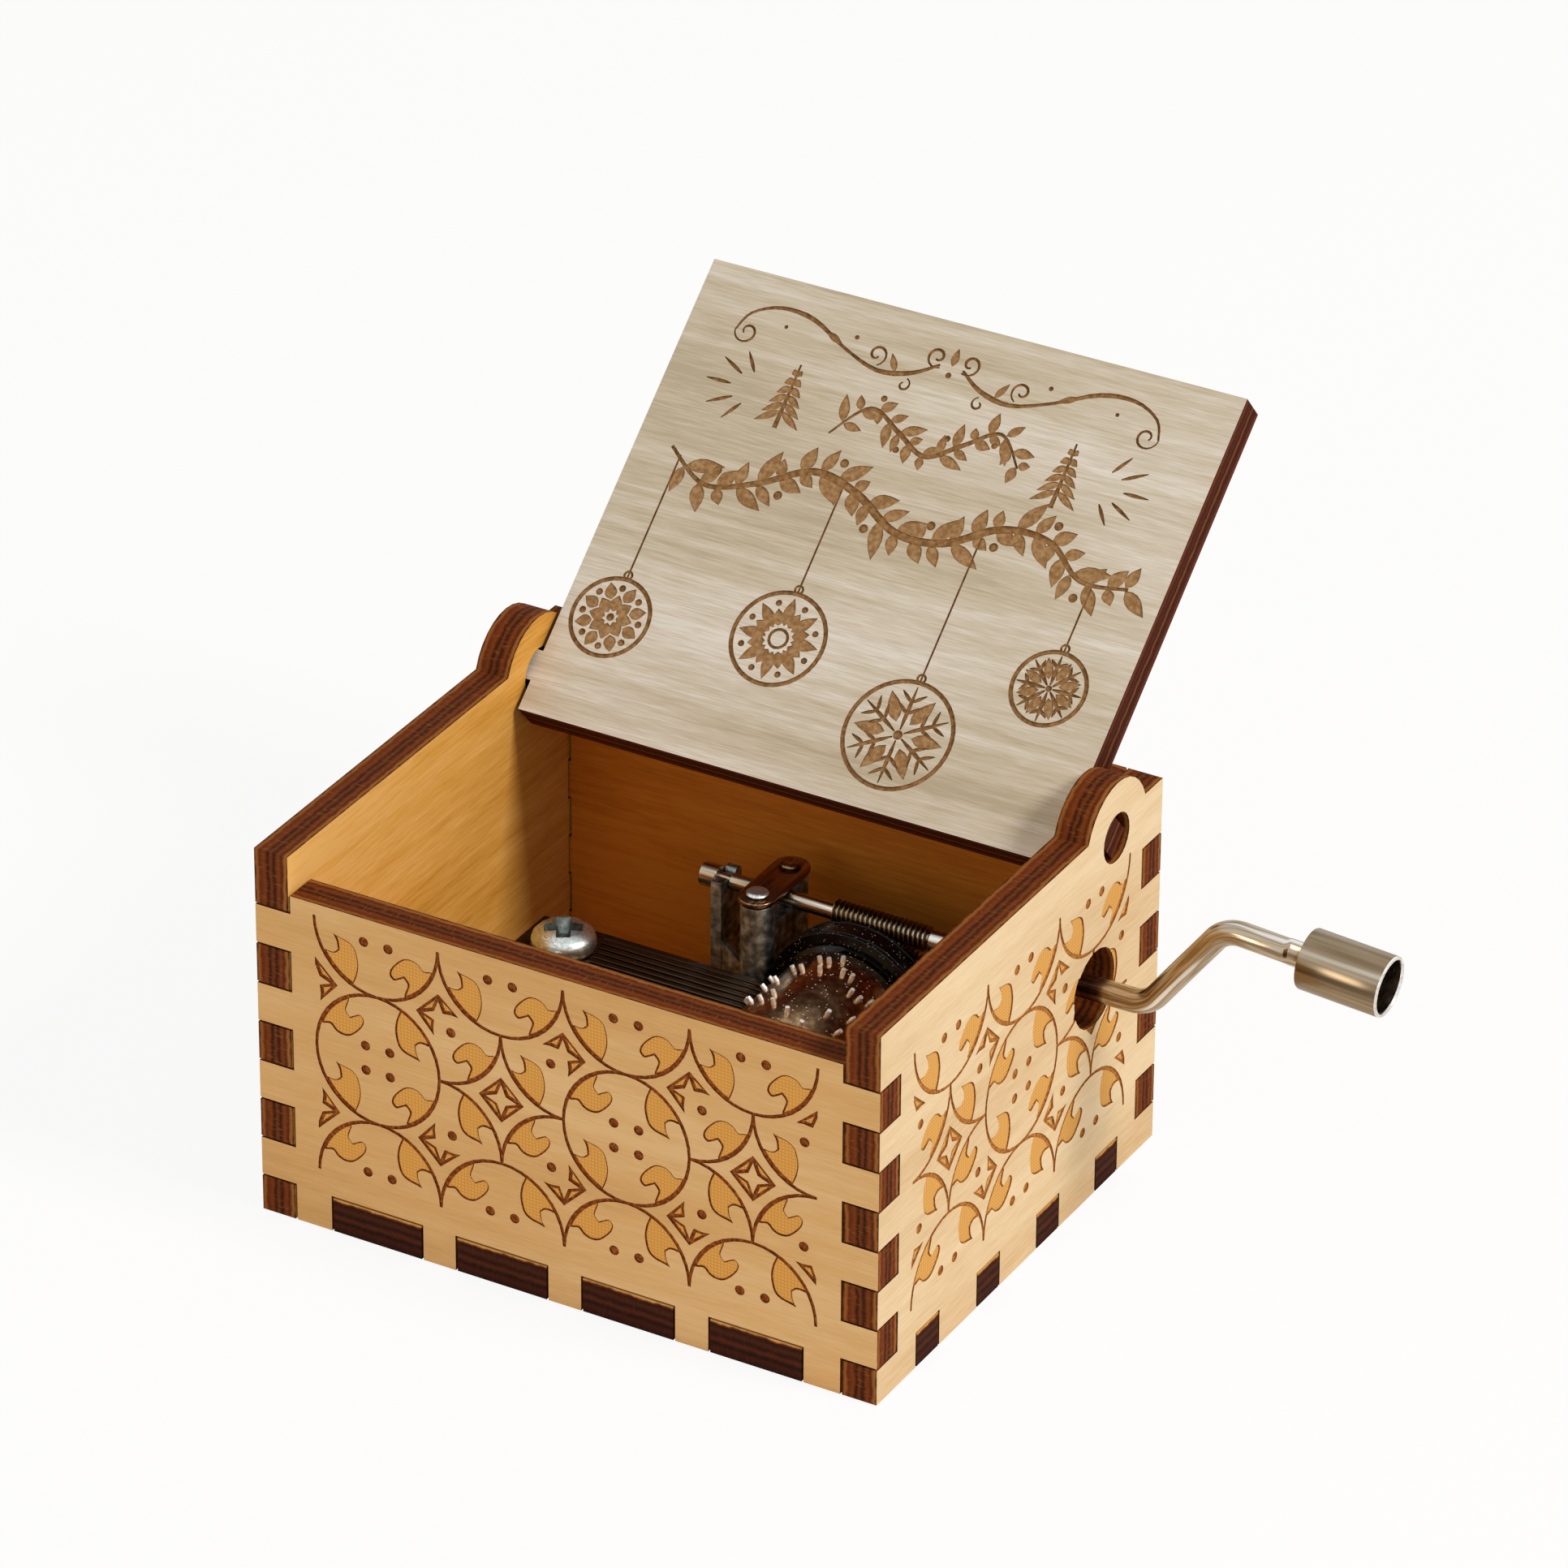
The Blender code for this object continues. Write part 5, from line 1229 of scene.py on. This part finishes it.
# %% Make the comb's screws
CROSS_WIDTH, CROSS_REACH, CROSS_DEPTH, CROSS_TURN = 1.6, 1.95, 1.3, 30
HEAD_SHAPE = (
    *((0, 0), (0.3, 0.02), (0.6, 0.14), (0.83, 0.42), (0.96, 0.82)),
    *((1, 1.25), (1, 1.75), (0.95, 2.14), (0.93, 2.2)),
)
SHANK_RADIUS, SHANK_TIP = 1.5, 0.75


def tapered_cross():
    """The cross that cuts a recess: wide above nought, and narrow at its foot."""
    shape = bmesh.new()
    rows = []
    top = (0.4, CROSS_REACH * 1.15, CROSS_WIDTH / 2)
    for height, reach, half in (top, (-CROSS_DEPTH, CROSS_REACH * 0.45, CROSS_WIDTH * 0.24)):
        row = []
        for turn in range(4):
            swing = Matrix.Rotation(math.radians(90 * turn + CROSS_TURN), 3, "Z")
            arm = [(reach, -half, height), (reach, half, height), (half, half, height)]
            row += [shape.verts.new(swing @ Vector(point) * MM) for point in arm]
        rows.append(row)
    upper, lower = rows
    shape.faces.new(upper)
    shape.faces.new(lower[::-1])
    for step in range(len(upper)):
        shape.faces.new((upper[step - 1], lower[step - 1], lower[step], upper[step]))
    bmesh.ops.recalc_face_normals(shape, faces=shape.faces)
    # The cross's darker zinc passes to the recess's walls as painted shade.
    return built("tapered_cross", shape, (darker_zinc_painted_shade,))


def apply_modifiers(piece):
    """Works a piece's modifiers into its mesh."""
    bpy.context.view_layer.update()
    graph = bpy.context.evaluated_depsgraph_get()
    mesh = bpy.data.meshes.new_from_object(piece.evaluated_get(graph))
    piece.modifiers.clear()
    piece.data = mesh
    return piece


def recess(piece, tool, place):
    """Cuts a tool's shape out of a piece."""
    tool.data.transform(place)
    step = piece.modifiers.new("recess", "BOOLEAN")
    step.material_mode, step.operation, step.solver = "TRANSFER", "DIFFERENCE", "EXACT"
    step.object, step.use_self = tool, True
    apply_modifiers(piece)
    bpy.data.objects.remove(tool)
    return smooth(piece, 32)


def comb_screw(node):
    """A pan-head screw that stands where its solid stands."""
    low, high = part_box(node)
    middle = (low + high) / 2 / MM
    top, foot = high.z / MM, low.z / MM
    radius = (high.x - low.x) / 2 / MM
    head = [(radius * share, top - down) for share, down in HEAD_SHAPE]
    shank = [(SHANK_RADIUS, top - 2.2), (SHANK_RADIUS, foot + 1.5), (SHANK_TIP, foot), (0, foot)]
    screw = spun(node + "_cross_recess", head + shank, upright(middle.x, middle.y), bright_zinc, 72)
    recess(screw, tapered_cross(), upright(middle.x, middle.y, top))
    return put_on(screw, "case", "zinc_plated_steel", node)


for node in ("comb_screw_front", "comb_screw_rear"):
    print(node, "has", len(comb_screw(node).data.polygons), "faces")

# %% [markdown]
# ## Cast frame, keeper plate and gear
# These keep the shape of their solids. Casting, stamping and moulding leave no sharp corner, so a small bevel
# rounds the edges of the frame, the keeper, the plug and the comb, and the light then runs along them as it does in the
# photograph. The gear keeps its solid's edges.
# Three fine ridges run round the gear's flange.

# %% Round the edges of cast, stamped and moulded pieces
SHARP_FROM_DEG = 28
RIDGE_RADIUS, RIDGE_HALF, RIDGE_SIDES = 8.38, 0.09, 10


def softened(node, name, finish, bevel_mm, body, slot, segments=2):
    """A solid's shape, with its edges rounded where bevel_mm is above nought."""
    piece = merged_copy(node, name, (finish,))
    shape = bmesh.new()
    shape.from_mesh(piece.data)
    flat = math.radians(0.2)
    bmesh.ops.dissolve_limit(shape, angle_limit=flat, verts=shape.verts, edges=shape.edges, delimit={"SHARP"})
    shape.to_mesh(piece.data)
    shape.free()
    if bevel_mm:
        rounding = piece.modifiers.new("round_edges", "BEVEL")
        rounding.width, rounding.segments, rounding.use_clamp_overlap = bevel_mm * MM, segments, True
        rounding.limit_method, rounding.angle_limit = "ANGLE", math.radians(SHARP_FROM_DEG)
        apply_modifiers(piece)
    return put_on(smooth(piece, SHARP_FROM_DEG + 12), body, slot, node)


gear_low, gear_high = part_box("cylinder_gear")
gear_x, _, gear_z = (gear_low + gear_high) / 2 / MM
softened("movement_frame", "cast_frame", cast_zinc, 0.1, "case", "cast_zinc")
softened("keeper_plate", "stamped_keeper", browned_nickel, 0.1, "case", "nickel_plated_steel")
softened("cylinder_gear", "moulded_gear", black_acetal, 0.0, "cylinder", "black_acetal")
for level in (9.68, 10.12, 11.95):
    turns = [2 * math.pi * step / RIDGE_SIDES for step in range(RIDGE_SIDES)]
    around = [(RIDGE_RADIUS + RIDGE_HALF * math.cos(turn), level + RIDGE_HALF * math.sin(turn)) for turn in turns]
    ridge = spun("flange_ridge", around, lying_back(gear_x, 0, gear_z), black_acetal, 144, closed=True)
    put_on(ridge, "cylinder", "black_acetal")
softened("cylinder_front_cap", "moulded_plug", black_acetal, 0.08, "cylinder", "black_acetal")
softened("comb", "ground_comb", comb_steel, 0.03, "case", "hardened_comb_steel", 1)

# %% [markdown]
# ## The pinned barrel
# The tune is set out as steel pins on a thin brass barrel, one ring of pins under each tooth of the comb.
# The places of the pins follow the same rule as the solid's, so they pass the comb's tips in the same way.
# Geometry Nodes set one pin on every place and turn it straight out of the barrel.

# %% Where the pins stand
COMB_TEETH, COMB_PITCH = 18, 0.85
TUNE_BEATS = 46
BARREL_RADIUS, BARREL_MARGIN, BARREL_WALL = 6.95, 0.8, 0.6
PIN_HEIGHT, PIN_ROOT, PIN_RADIUS = 0.5, 0.3, 0.27
cylinder_x, _, cylinder_z = [share / MM for share in joints["cylinder_spin"]["pos_m"]]
barrel_low, barrel_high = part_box("cylinder_barrel")
barrel_front, barrel_rear = barrel_low.y / MM, barrel_high.y / MM


def tune_notes():
    """(track, beat) of each pin: a rolling tune in the upper tracks over broken chords in the lower ones."""
    notes = set()
    upper = COMB_TEETH // 2
    for beat in range(TUNE_BEATS):
        wave = math.sin(2 * math.pi * beat / (TUNE_BEATS / 3))
        notes.add((upper + round((upper - 2) / 2 * (1 + wave)) + beat % 2, beat))
        notes.add((beat * 4 % upper, beat))
        if beat % 2 == 0:
            notes.add(((beat * 3 + 2) % COMB_TEETH, beat))
    return sorted(notes)


def pin_places():
    """A mesh with one point on the barrel's surface for each note."""
    places = []
    for track, beat in tune_notes():
        angle = 2 * math.pi * beat / TUNE_BEATS
        along = barrel_front + BARREL_MARGIN + (track + 0.5) * COMB_PITCH
        x = cylinder_x + BARREL_RADIUS * math.cos(angle)
        z = cylinder_z - BARREL_RADIUS * math.sin(angle)
        places.append(Vector((x, along, z)) * MM)
    mesh = bpy.data.meshes.new("barrel_pins")
    mesh.from_pydata(places, [], [])
    return link("barrel_pins", mesh)


print("notes of the tune:", len(tune_notes()))

# %% Set the pins with Geometry Nodes
FLOAT, VECTOR, WHOLE = "NodeSocketFloat", "NodeSocketVector", "NodeSocketInt"


def open_tree(name, **inputs):
    """A Geometry Nodes tree with a geometry input, named inputs and a geometry output."""
    tree = bpy.data.node_groups.new(name, "GeometryNodeTree")
    tree.interface.new_socket("Geometry", in_out="INPUT", socket_type="NodeSocketGeometry")
    tree.interface.new_socket("Geometry", in_out="OUTPUT", socket_type="NodeSocketGeometry")
    for title, kind in inputs.items():
        tree.interface.new_socket(title, in_out="INPUT", socket_type=kind)
    return tree, add_node(tree, "NodeGroupInput").outputs


def close_tree(tree, result, finish):
    """Ends a tree: its instances become one mesh with one finish."""
    real = add_node(tree, "GeometryNodeRealizeInstances", {"Geometry": result})
    coated = add_node(tree, "GeometryNodeSetMaterial", {"Geometry": real, "Material": finish})
    add_node(tree, "NodeGroupOutput", {"Geometry": coated})


def run_tree(piece, tree, **values):
    """Gives a piece the tree with its input values, and turns the result into its plain mesh."""
    step = piece.modifiers.new(tree.name, "NODES")
    step.node_group = tree
    sockets = {item.name: item.identifier for item in tree.interface.items_tree if item.in_out == "INPUT"}
    for title, value in values.items():
        step[sockets[title]] = value
    return apply_modifiers(piece)


tree, given = open_tree("set_pins", Axis=VECTOR, Height=FLOAT, Root=FLOAT, Radius=FLOAT, Sides=WHOLE)
where = add_node(tree, "GeometryNodeInputPosition")
from_axis = add_node(tree, "ShaderNodeVectorMath", {0: where, 1: given["Axis"]}, operation="SUBTRACT")
outwards = add_node(tree, "ShaderNodeVectorMath", {0: from_axis, 1: (1, 0, 1)}, operation="MULTIPLY")
facing = add_node(tree, "FunctionNodeAlignRotationToVector", {"Vector": outwards}, axis="Z")
depth = add_node(tree, "ShaderNodeMath", {0: given["Height"], 1: given["Root"]}, operation="ADD")
tip = add_node(tree, "ShaderNodeMath", {0: given["Radius"], 1: 0.8}, operation="MULTIPLY")
cone = {"Vertices": given["Sides"], "Radius Top": tip, "Radius Bottom": given["Radius"], "Depth": depth}
pin = add_node(tree, "GeometryNodeMeshCone", cone)
down = add_node(tree, "ShaderNodeMath", {0: given["Root"], 1: -1.0}, operation="MULTIPLY")
sunk = add_node(tree, "ShaderNodeCombineXYZ", {"Z": down})
seated = add_node(tree, "GeometryNodeTransform", {"Geometry": pin, "Translation": sunk})
on_places = {"Points": given["Geometry"], "Instance": seated, "Rotation": facing}
close_tree(tree, add_node(tree, "GeometryNodeInstanceOnPoints", on_places), pin_steel)
axis_point = (cylinder_x * MM, 0.0, cylinder_z * MM)
sizes = {"Height": PIN_HEIGHT * MM, "Root": PIN_ROOT * MM, "Radius": PIN_RADIUS * MM}
pins = run_tree(pin_places(), tree, Axis=axis_point, Sides=12, **sizes)
put_on(pins, "cylinder", "nickel_plated_steel")
print("the pins have", len(pins.data.polygons), "faces")

# %% Turn the barrel, the arbor and the rivets
rear = barrel_rear - barrel_front
groove_floor = BARREL_RADIUS - 0.07
profile = [(BARREL_RADIUS - BARREL_WALL, 0.0), (BARREL_RADIUS - 0.12, 0.0), (BARREL_RADIUS, 0.12)]
for groove in (0.3, 0.55):
    profile += [(BARREL_RADIUS, groove - 0.08), (groove_floor, groove - 0.02)]
    profile += [(groove_floor, groove + 0.02), (BARREL_RADIUS, groove + 0.08)]
profile += [(BARREL_RADIUS, rear - 0.1), (BARREL_RADIUS - 0.1, rear), (BARREL_RADIUS - BARREL_WALL, rear)]
barrel_place = lying_back(cylinder_x, barrel_front, cylinder_z)
barrel = spun("turned_barrel", profile, barrel_place, barrel_nickel, 144, closed=True)
put_on(barrel, "cylinder", "nickel_plated_brass", "cylinder_barrel")
arbor_low, arbor_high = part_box("cylinder_arbor")
length = (arbor_high.y - arbor_low.y) / MM
profile = [(0, 0), (0.8, 0), (1.0, 0.2), (1.0, length - 0.2), (0.8, length), (0, length)]
arbor = spun("turned_arbor", profile, lying_back(cylinder_x, arbor_low.y / MM, cylinder_z), drawn_nickel, 48)
put_on(arbor, "cylinder", "nickel_plated_steel", "cylinder_arbor")


def rivet(node, finish):
    """A rivet whose head was pressed to a low dome with a dimple."""
    low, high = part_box(node)
    middle = (low + high) / 2 / MM
    top, foot = high.z / MM, low.z / MM
    profile = [(0, top - 0.1), (0.3, top - 0.06), (0.52, top), (0.78, top - 0.03), (0.98, top - 0.12)]
    profile += [(1.07, top - 0.22), (1.07, top - 0.3), (0.55, top - 0.3), (0.55, foot), (0, foot)]
    piece = spun(node + "_domed", profile, upright(middle.x, middle.y), finish, 48)
    return put_on(piece, "case", "zinc_plated_steel", node)


rivet("keeper_rivet_front", bright_zinc)
rivet("keeper_rivet_rear", browned_nickel)
print("the barrel has", len(barrel.data.polygons), "faces")

# %% [markdown]
# ## The crank
# One steel rod runs from the fork through the worm, bends up and over outside the case, and carries the grip.
# Its path lies in one upright plane, so it is drawn there as straight runs with round bends. A section is then carried
# along it: a circle whose size changes at the groove and the collar, and that is pinched flat where the grip stops.

# %% The rod's path and thickness
_, crank_y, crank_z = [share / MM for share in joints["crank_spin"]["pos_m"]]
grip_joint = joints["grip_spin"]
leg_start = Vector(grip_joint["pos_m"][::2]) / MM
leg_way = Vector(grip_joint["axis"][::2])
shaft_low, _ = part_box("crank_shaft")
collar_end = shaft_low.x / MM
ROD_RADIUS, BEND_RADIUS = 1.15, 3.2
ARM_FOOT_X = 37.4
LEG_TO_PINCH, PINCH_LENGTH = 6.3, 1.7
LEG_END = LEG_TO_PINCH + PINCH_LENGTH + 2.0
WORM_PITCH = 0.5
WORM_LOW, WORM_HIGH = 5.1, 15.1
COLLAR = (
    *((0.0, 0.0), (0.0, 1.0), (0.15, ROD_RADIUS), (1.72, ROD_RADIUS)),
    *((1.8, ROD_RADIUS - 0.08), (1.8, 0.6), (3.1, 0.6), (3.1, 0.74), (3.18, 0.8)),
)
WORM_RUN = (
    *((WORM_LOW - 0.35, 0.8), (WORM_LOW, 0.85), (WORM_HIGH, 0.85)),
    *((WORM_HIGH + 0.25, 1.12), (WORM_HIGH + 0.6, ROD_RADIUS)),
)
PINCH = (
    *((-0.35, 1.15, 1.15), (-0.1, 1.24, 0.98), (0.12, 1.38, 0.66), (0.3, 1.4, 0.6), (1.4, 1.4, 0.6)),
    *((1.58, 1.38, 0.66), (1.7, 1.2, 0.95), (1.74, 1.15, 1.15), (2.75, 1.15, 1.15), (2.8, 1.15, 1.15)),
    *((2.8, 1.55, 1.55), (2.95, 1.7, 1.7), (3.4, 1.6, 1.6), (3.6, 1.1, 1.1), (3.6, 0.0, 0.0)),
)


def bent_path(corners, steps=14):
    """The corners' line with each inner corner rounded to a bend, without its two ends."""
    line = []
    for before, corner, after in zip(corners, corners[1:], corners[2:]):
        back = (before - corner).normalized()
        forth = (after - corner).normalized()
        half = back.angle(forth) / 2
        middle = corner + (back + forth).normalized() * (BEND_RADIUS / math.sin(half))
        first, last = (corner + way * (BEND_RADIUS / math.tan(half)) - middle for way in (back, forth))
        sweep = first.angle(last)
        for step in range(steps + 1):
            share = step / steps
            bend = first * math.sin((1 - share) * sweep) + last * math.sin(share * sweep)
            line.append(middle + bend / math.sin(sweep))
    return line


def rod_sections():
    """(place along X and Z, tangent, radius across the plane's normal, radius out of the plane) for each ring."""
    straight = [(collar_end + far, radius) for far, radius in COLLAR] + list(WORM_RUN)
    rings = [(Vector((x, crank_z)), Vector((1, 0)), radius, radius) for x, radius in straight]
    start, end = Vector((straight[-1][0], crank_z)), leg_start + leg_way * LEG_END
    line = [start, *bent_path([start, Vector((ARM_FOOT_X, crank_z)), leg_start, end]), end]
    for before, point, after in zip(line, line[1:], line[2:]):
        rings.append((point, (after - before).normalized(), ROD_RADIUS, ROD_RADIUS))
    return rings + [(leg_start + leg_way * (LEG_TO_PINCH + far), leg_way, tall, wide) for far, tall, wide in PINCH]


def carried_rod(name, rings, finish, sides=40):
    """A closed rod through the rings, with the map of drawn metal on it."""
    sections = []
    far = 0.0
    before = rings[0][0]
    for point, along, tall, wide in rings:
        far += (point - before).length
        before = point
        section = []
        for turn in full_turn(sides, tall):
            flat = point + to_the_left(along) * (tall * math.cos(turn))
            section.append(Vector((flat.x, crank_y + wide * math.sin(turn), flat.y)) * MM)
        sections.append((far, section))
    return skinned(name, sections, finish, sharp_deg=35)


rod = carried_rod("crank_rod", rod_sections(), drawn_nickel)
print("the rod has", len(rod.data.polygons), "faces")

# %% [markdown]
# ## The worm
# The worm's thread follows a rule: one section goes round the shaft and half a millimetre along it at every turn.
# Geometry Nodes draw that line as a right-handed spiral and carry the thread's slim trapezium along it.
# The spiral starts at the turn that puts its crests between the gear's teeth.

# %% Cut the worm with Geometry Nodes
THREAD_ROOT, THREAD_CREST = 0.8, 1.24
ROOT_WIDE, CREST_WIDE = 0.26, 0.09
names = dict.fromkeys(("Turns", "Pitch", "Radius", "Half", "Crest", "Root"), FLOAT)
tree, given = open_tree("worm_thread", **names, Steps=WHOLE)
rise = add_node(tree, "ShaderNodeMath", {0: given["Turns"], 1: given["Pitch"]}, operation="MULTIPLY")
turning = {"Resolution": given["Steps"], "Rotations": given["Turns"], "Height": rise, "Reverse": True}
radii = {"Start Radius": given["Radius"], "End Radius": given["Radius"]}
spiral = add_node(tree, "GeometryNodeCurveSpiral", {**turning, **radii})
level = add_node(tree, "GeometryNodeSetCurveNormal", {"Curve": spiral}, mode="Z_UP")
inwards = add_node(tree, "ShaderNodeMath", {0: given["Half"], 1: -1.0}, operation="MULTIPLY")
corners = {}
for number, side in enumerate((0.5, -0.5, -0.5, 0.5), 1):
    deep, width = (inwards, "Root") if number < 3 else (given["Half"], "Crest")
    half = add_node(tree, "ShaderNodeMath", {0: given[width], 1: side}, operation="MULTIPLY")
    corners["Point " + str(number)] = add_node(tree, "ShaderNodeCombineXYZ", {"X": deep, "Y": half})
section = add_node(tree, "GeometryNodeCurvePrimitiveQuadrilateral", corners, mode="POINTS")
carried = {"Curve": level, "Profile Curve": section, "Fill Caps": True}
close_tree(tree, add_node(tree, "GeometryNodeCurveToMesh", carried), worm_nickel)
worm = link("worm_thread", bpy.data.meshes.new("worm_thread"))
sizes = {"Pitch": WORM_PITCH, "Crest": CREST_WIDE, "Root": ROOT_WIDE}
sizes.update(Radius=(THREAD_ROOT + THREAD_CREST) / 2, Half=(THREAD_CREST - THREAD_ROOT) / 2)
turns = (WORM_HIGH - WORM_LOW - ROOT_WIDE) / WORM_PITCH
run_tree(worm, tree, Turns=turns, Steps=48, **{name: size * MM for name, size in sizes.items()})
thread_start = WORM_LOW + ROOT_WIDE / 2
first_turn = 2 * math.pi * ((thread_start - cylinder_x) / WORM_PITCH + 0.5)
lay_down = upright(thread_start, crank_y, crank_z) @ Matrix.Rotation(math.pi / 2, 4, "Y")
worm.data.transform(lay_down @ Matrix.Rotation(first_turn, 4, "Z"))
shape = bmesh.new()
shape.from_mesh(worm.data)
bmesh.ops.recalc_face_normals(shape, faces=shape.faces)
shape.to_mesh(worm.data)
shape.free()
smooth(worm, 25)
crank = put_on(joined("crank_rod_with_worm", [rod, worm]), "crank", "nickel_plated_steel", "crank_shaft")
print("the crank has", len(crank.data.polygons), "faces")

# %% [markdown]
# ## The grip
# The grip is a turned tube that spins on the rod's leg. Its outer end is open, so the rod's headed end shows inside.
# Its bore is painted nearly black as painted shade inside the tube, and its rim is painted nearly white as a painted
# highlight.

# %% Turn the grip
GRIP_LENGTH, GRIP_RADIUS = 8.15, 2.88
BORE_RADIUS, ROD_HOLE_RADIUS = 2.48, 1.25
GRIP_END_WALL = 0.8
grip_start = leg_start + leg_way * (LEG_TO_PINCH + PINCH_LENGTH + 0.2)
grip_swing = Matrix.Rotation(math.pi / 2 + math.atan2(-leg_way.y, leg_way.x), 4, "Y")
grip_place = upright(grip_start.x, crank_y, grip_start.y) @ grip_swing
profile = [(BORE_RADIUS, GRIP_LENGTH - 0.2), (BORE_RADIUS + 0.1, GRIP_LENGTH), (GRIP_RADIUS - 0.16, GRIP_LENGTH)]
profile += [(GRIP_RADIUS - 0.05, GRIP_LENGTH - 0.05), (GRIP_RADIUS, GRIP_LENGTH - 0.16), (GRIP_RADIUS, 0.2)]
profile += [(GRIP_RADIUS - 0.06, 0.06), (GRIP_RADIUS - 0.2, 0.0), (ROD_HOLE_RADIUS, 0.0)]
profile += [(ROD_HOLE_RADIUS, GRIP_END_WALL), (BORE_RADIUS - 0.2, GRIP_END_WALL), (BORE_RADIUS, GRIP_END_WALL + 0.2)]
grip = spun("turned_grip", profile, grip_place, turned_nickel, 112, closed=True)
grip.data.materials.append(painted_shade_bore_steel)
grip.data.materials.append(painted_highlight_nickel)
to_grip = grip_place.inverted()
# The rim's faces take the painted highlight and the bore's faces the painted shade.
for face in grip.data.polygons:
    x, y, z = to_grip @ face.center / MM
    if z > GRIP_LENGTH - 0.13:
        face.material_index = 2
    elif math.hypot(x, y) < BORE_RADIUS + 0.02 and z > 0.1:
        face.material_index = 1
put_on(grip, "grip", "nickel_plated_steel", "crank_grip")
print("the grip has", len(grip.data.polygons), "faces")

# %% Finish the small solids that keep their own shape
for node in ("base_screw_left", "base_screw_right"):
    frame["nodes"][node].data.materials.clear()
    frame["nodes"][node].data.materials.append(screw_shank_zinc)
print("all nodes are dressed")

# %% [markdown]
# ## Sizes and the end
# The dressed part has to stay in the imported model's box, so both boxes are written down to be compared.

# %% Write the sizes and finish
dressed_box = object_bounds()
for name, box in (("solids", cad_box), ("dressed", dressed_box)):
    print(name, [round(share / MM, 2) for corner in box for share in corner])
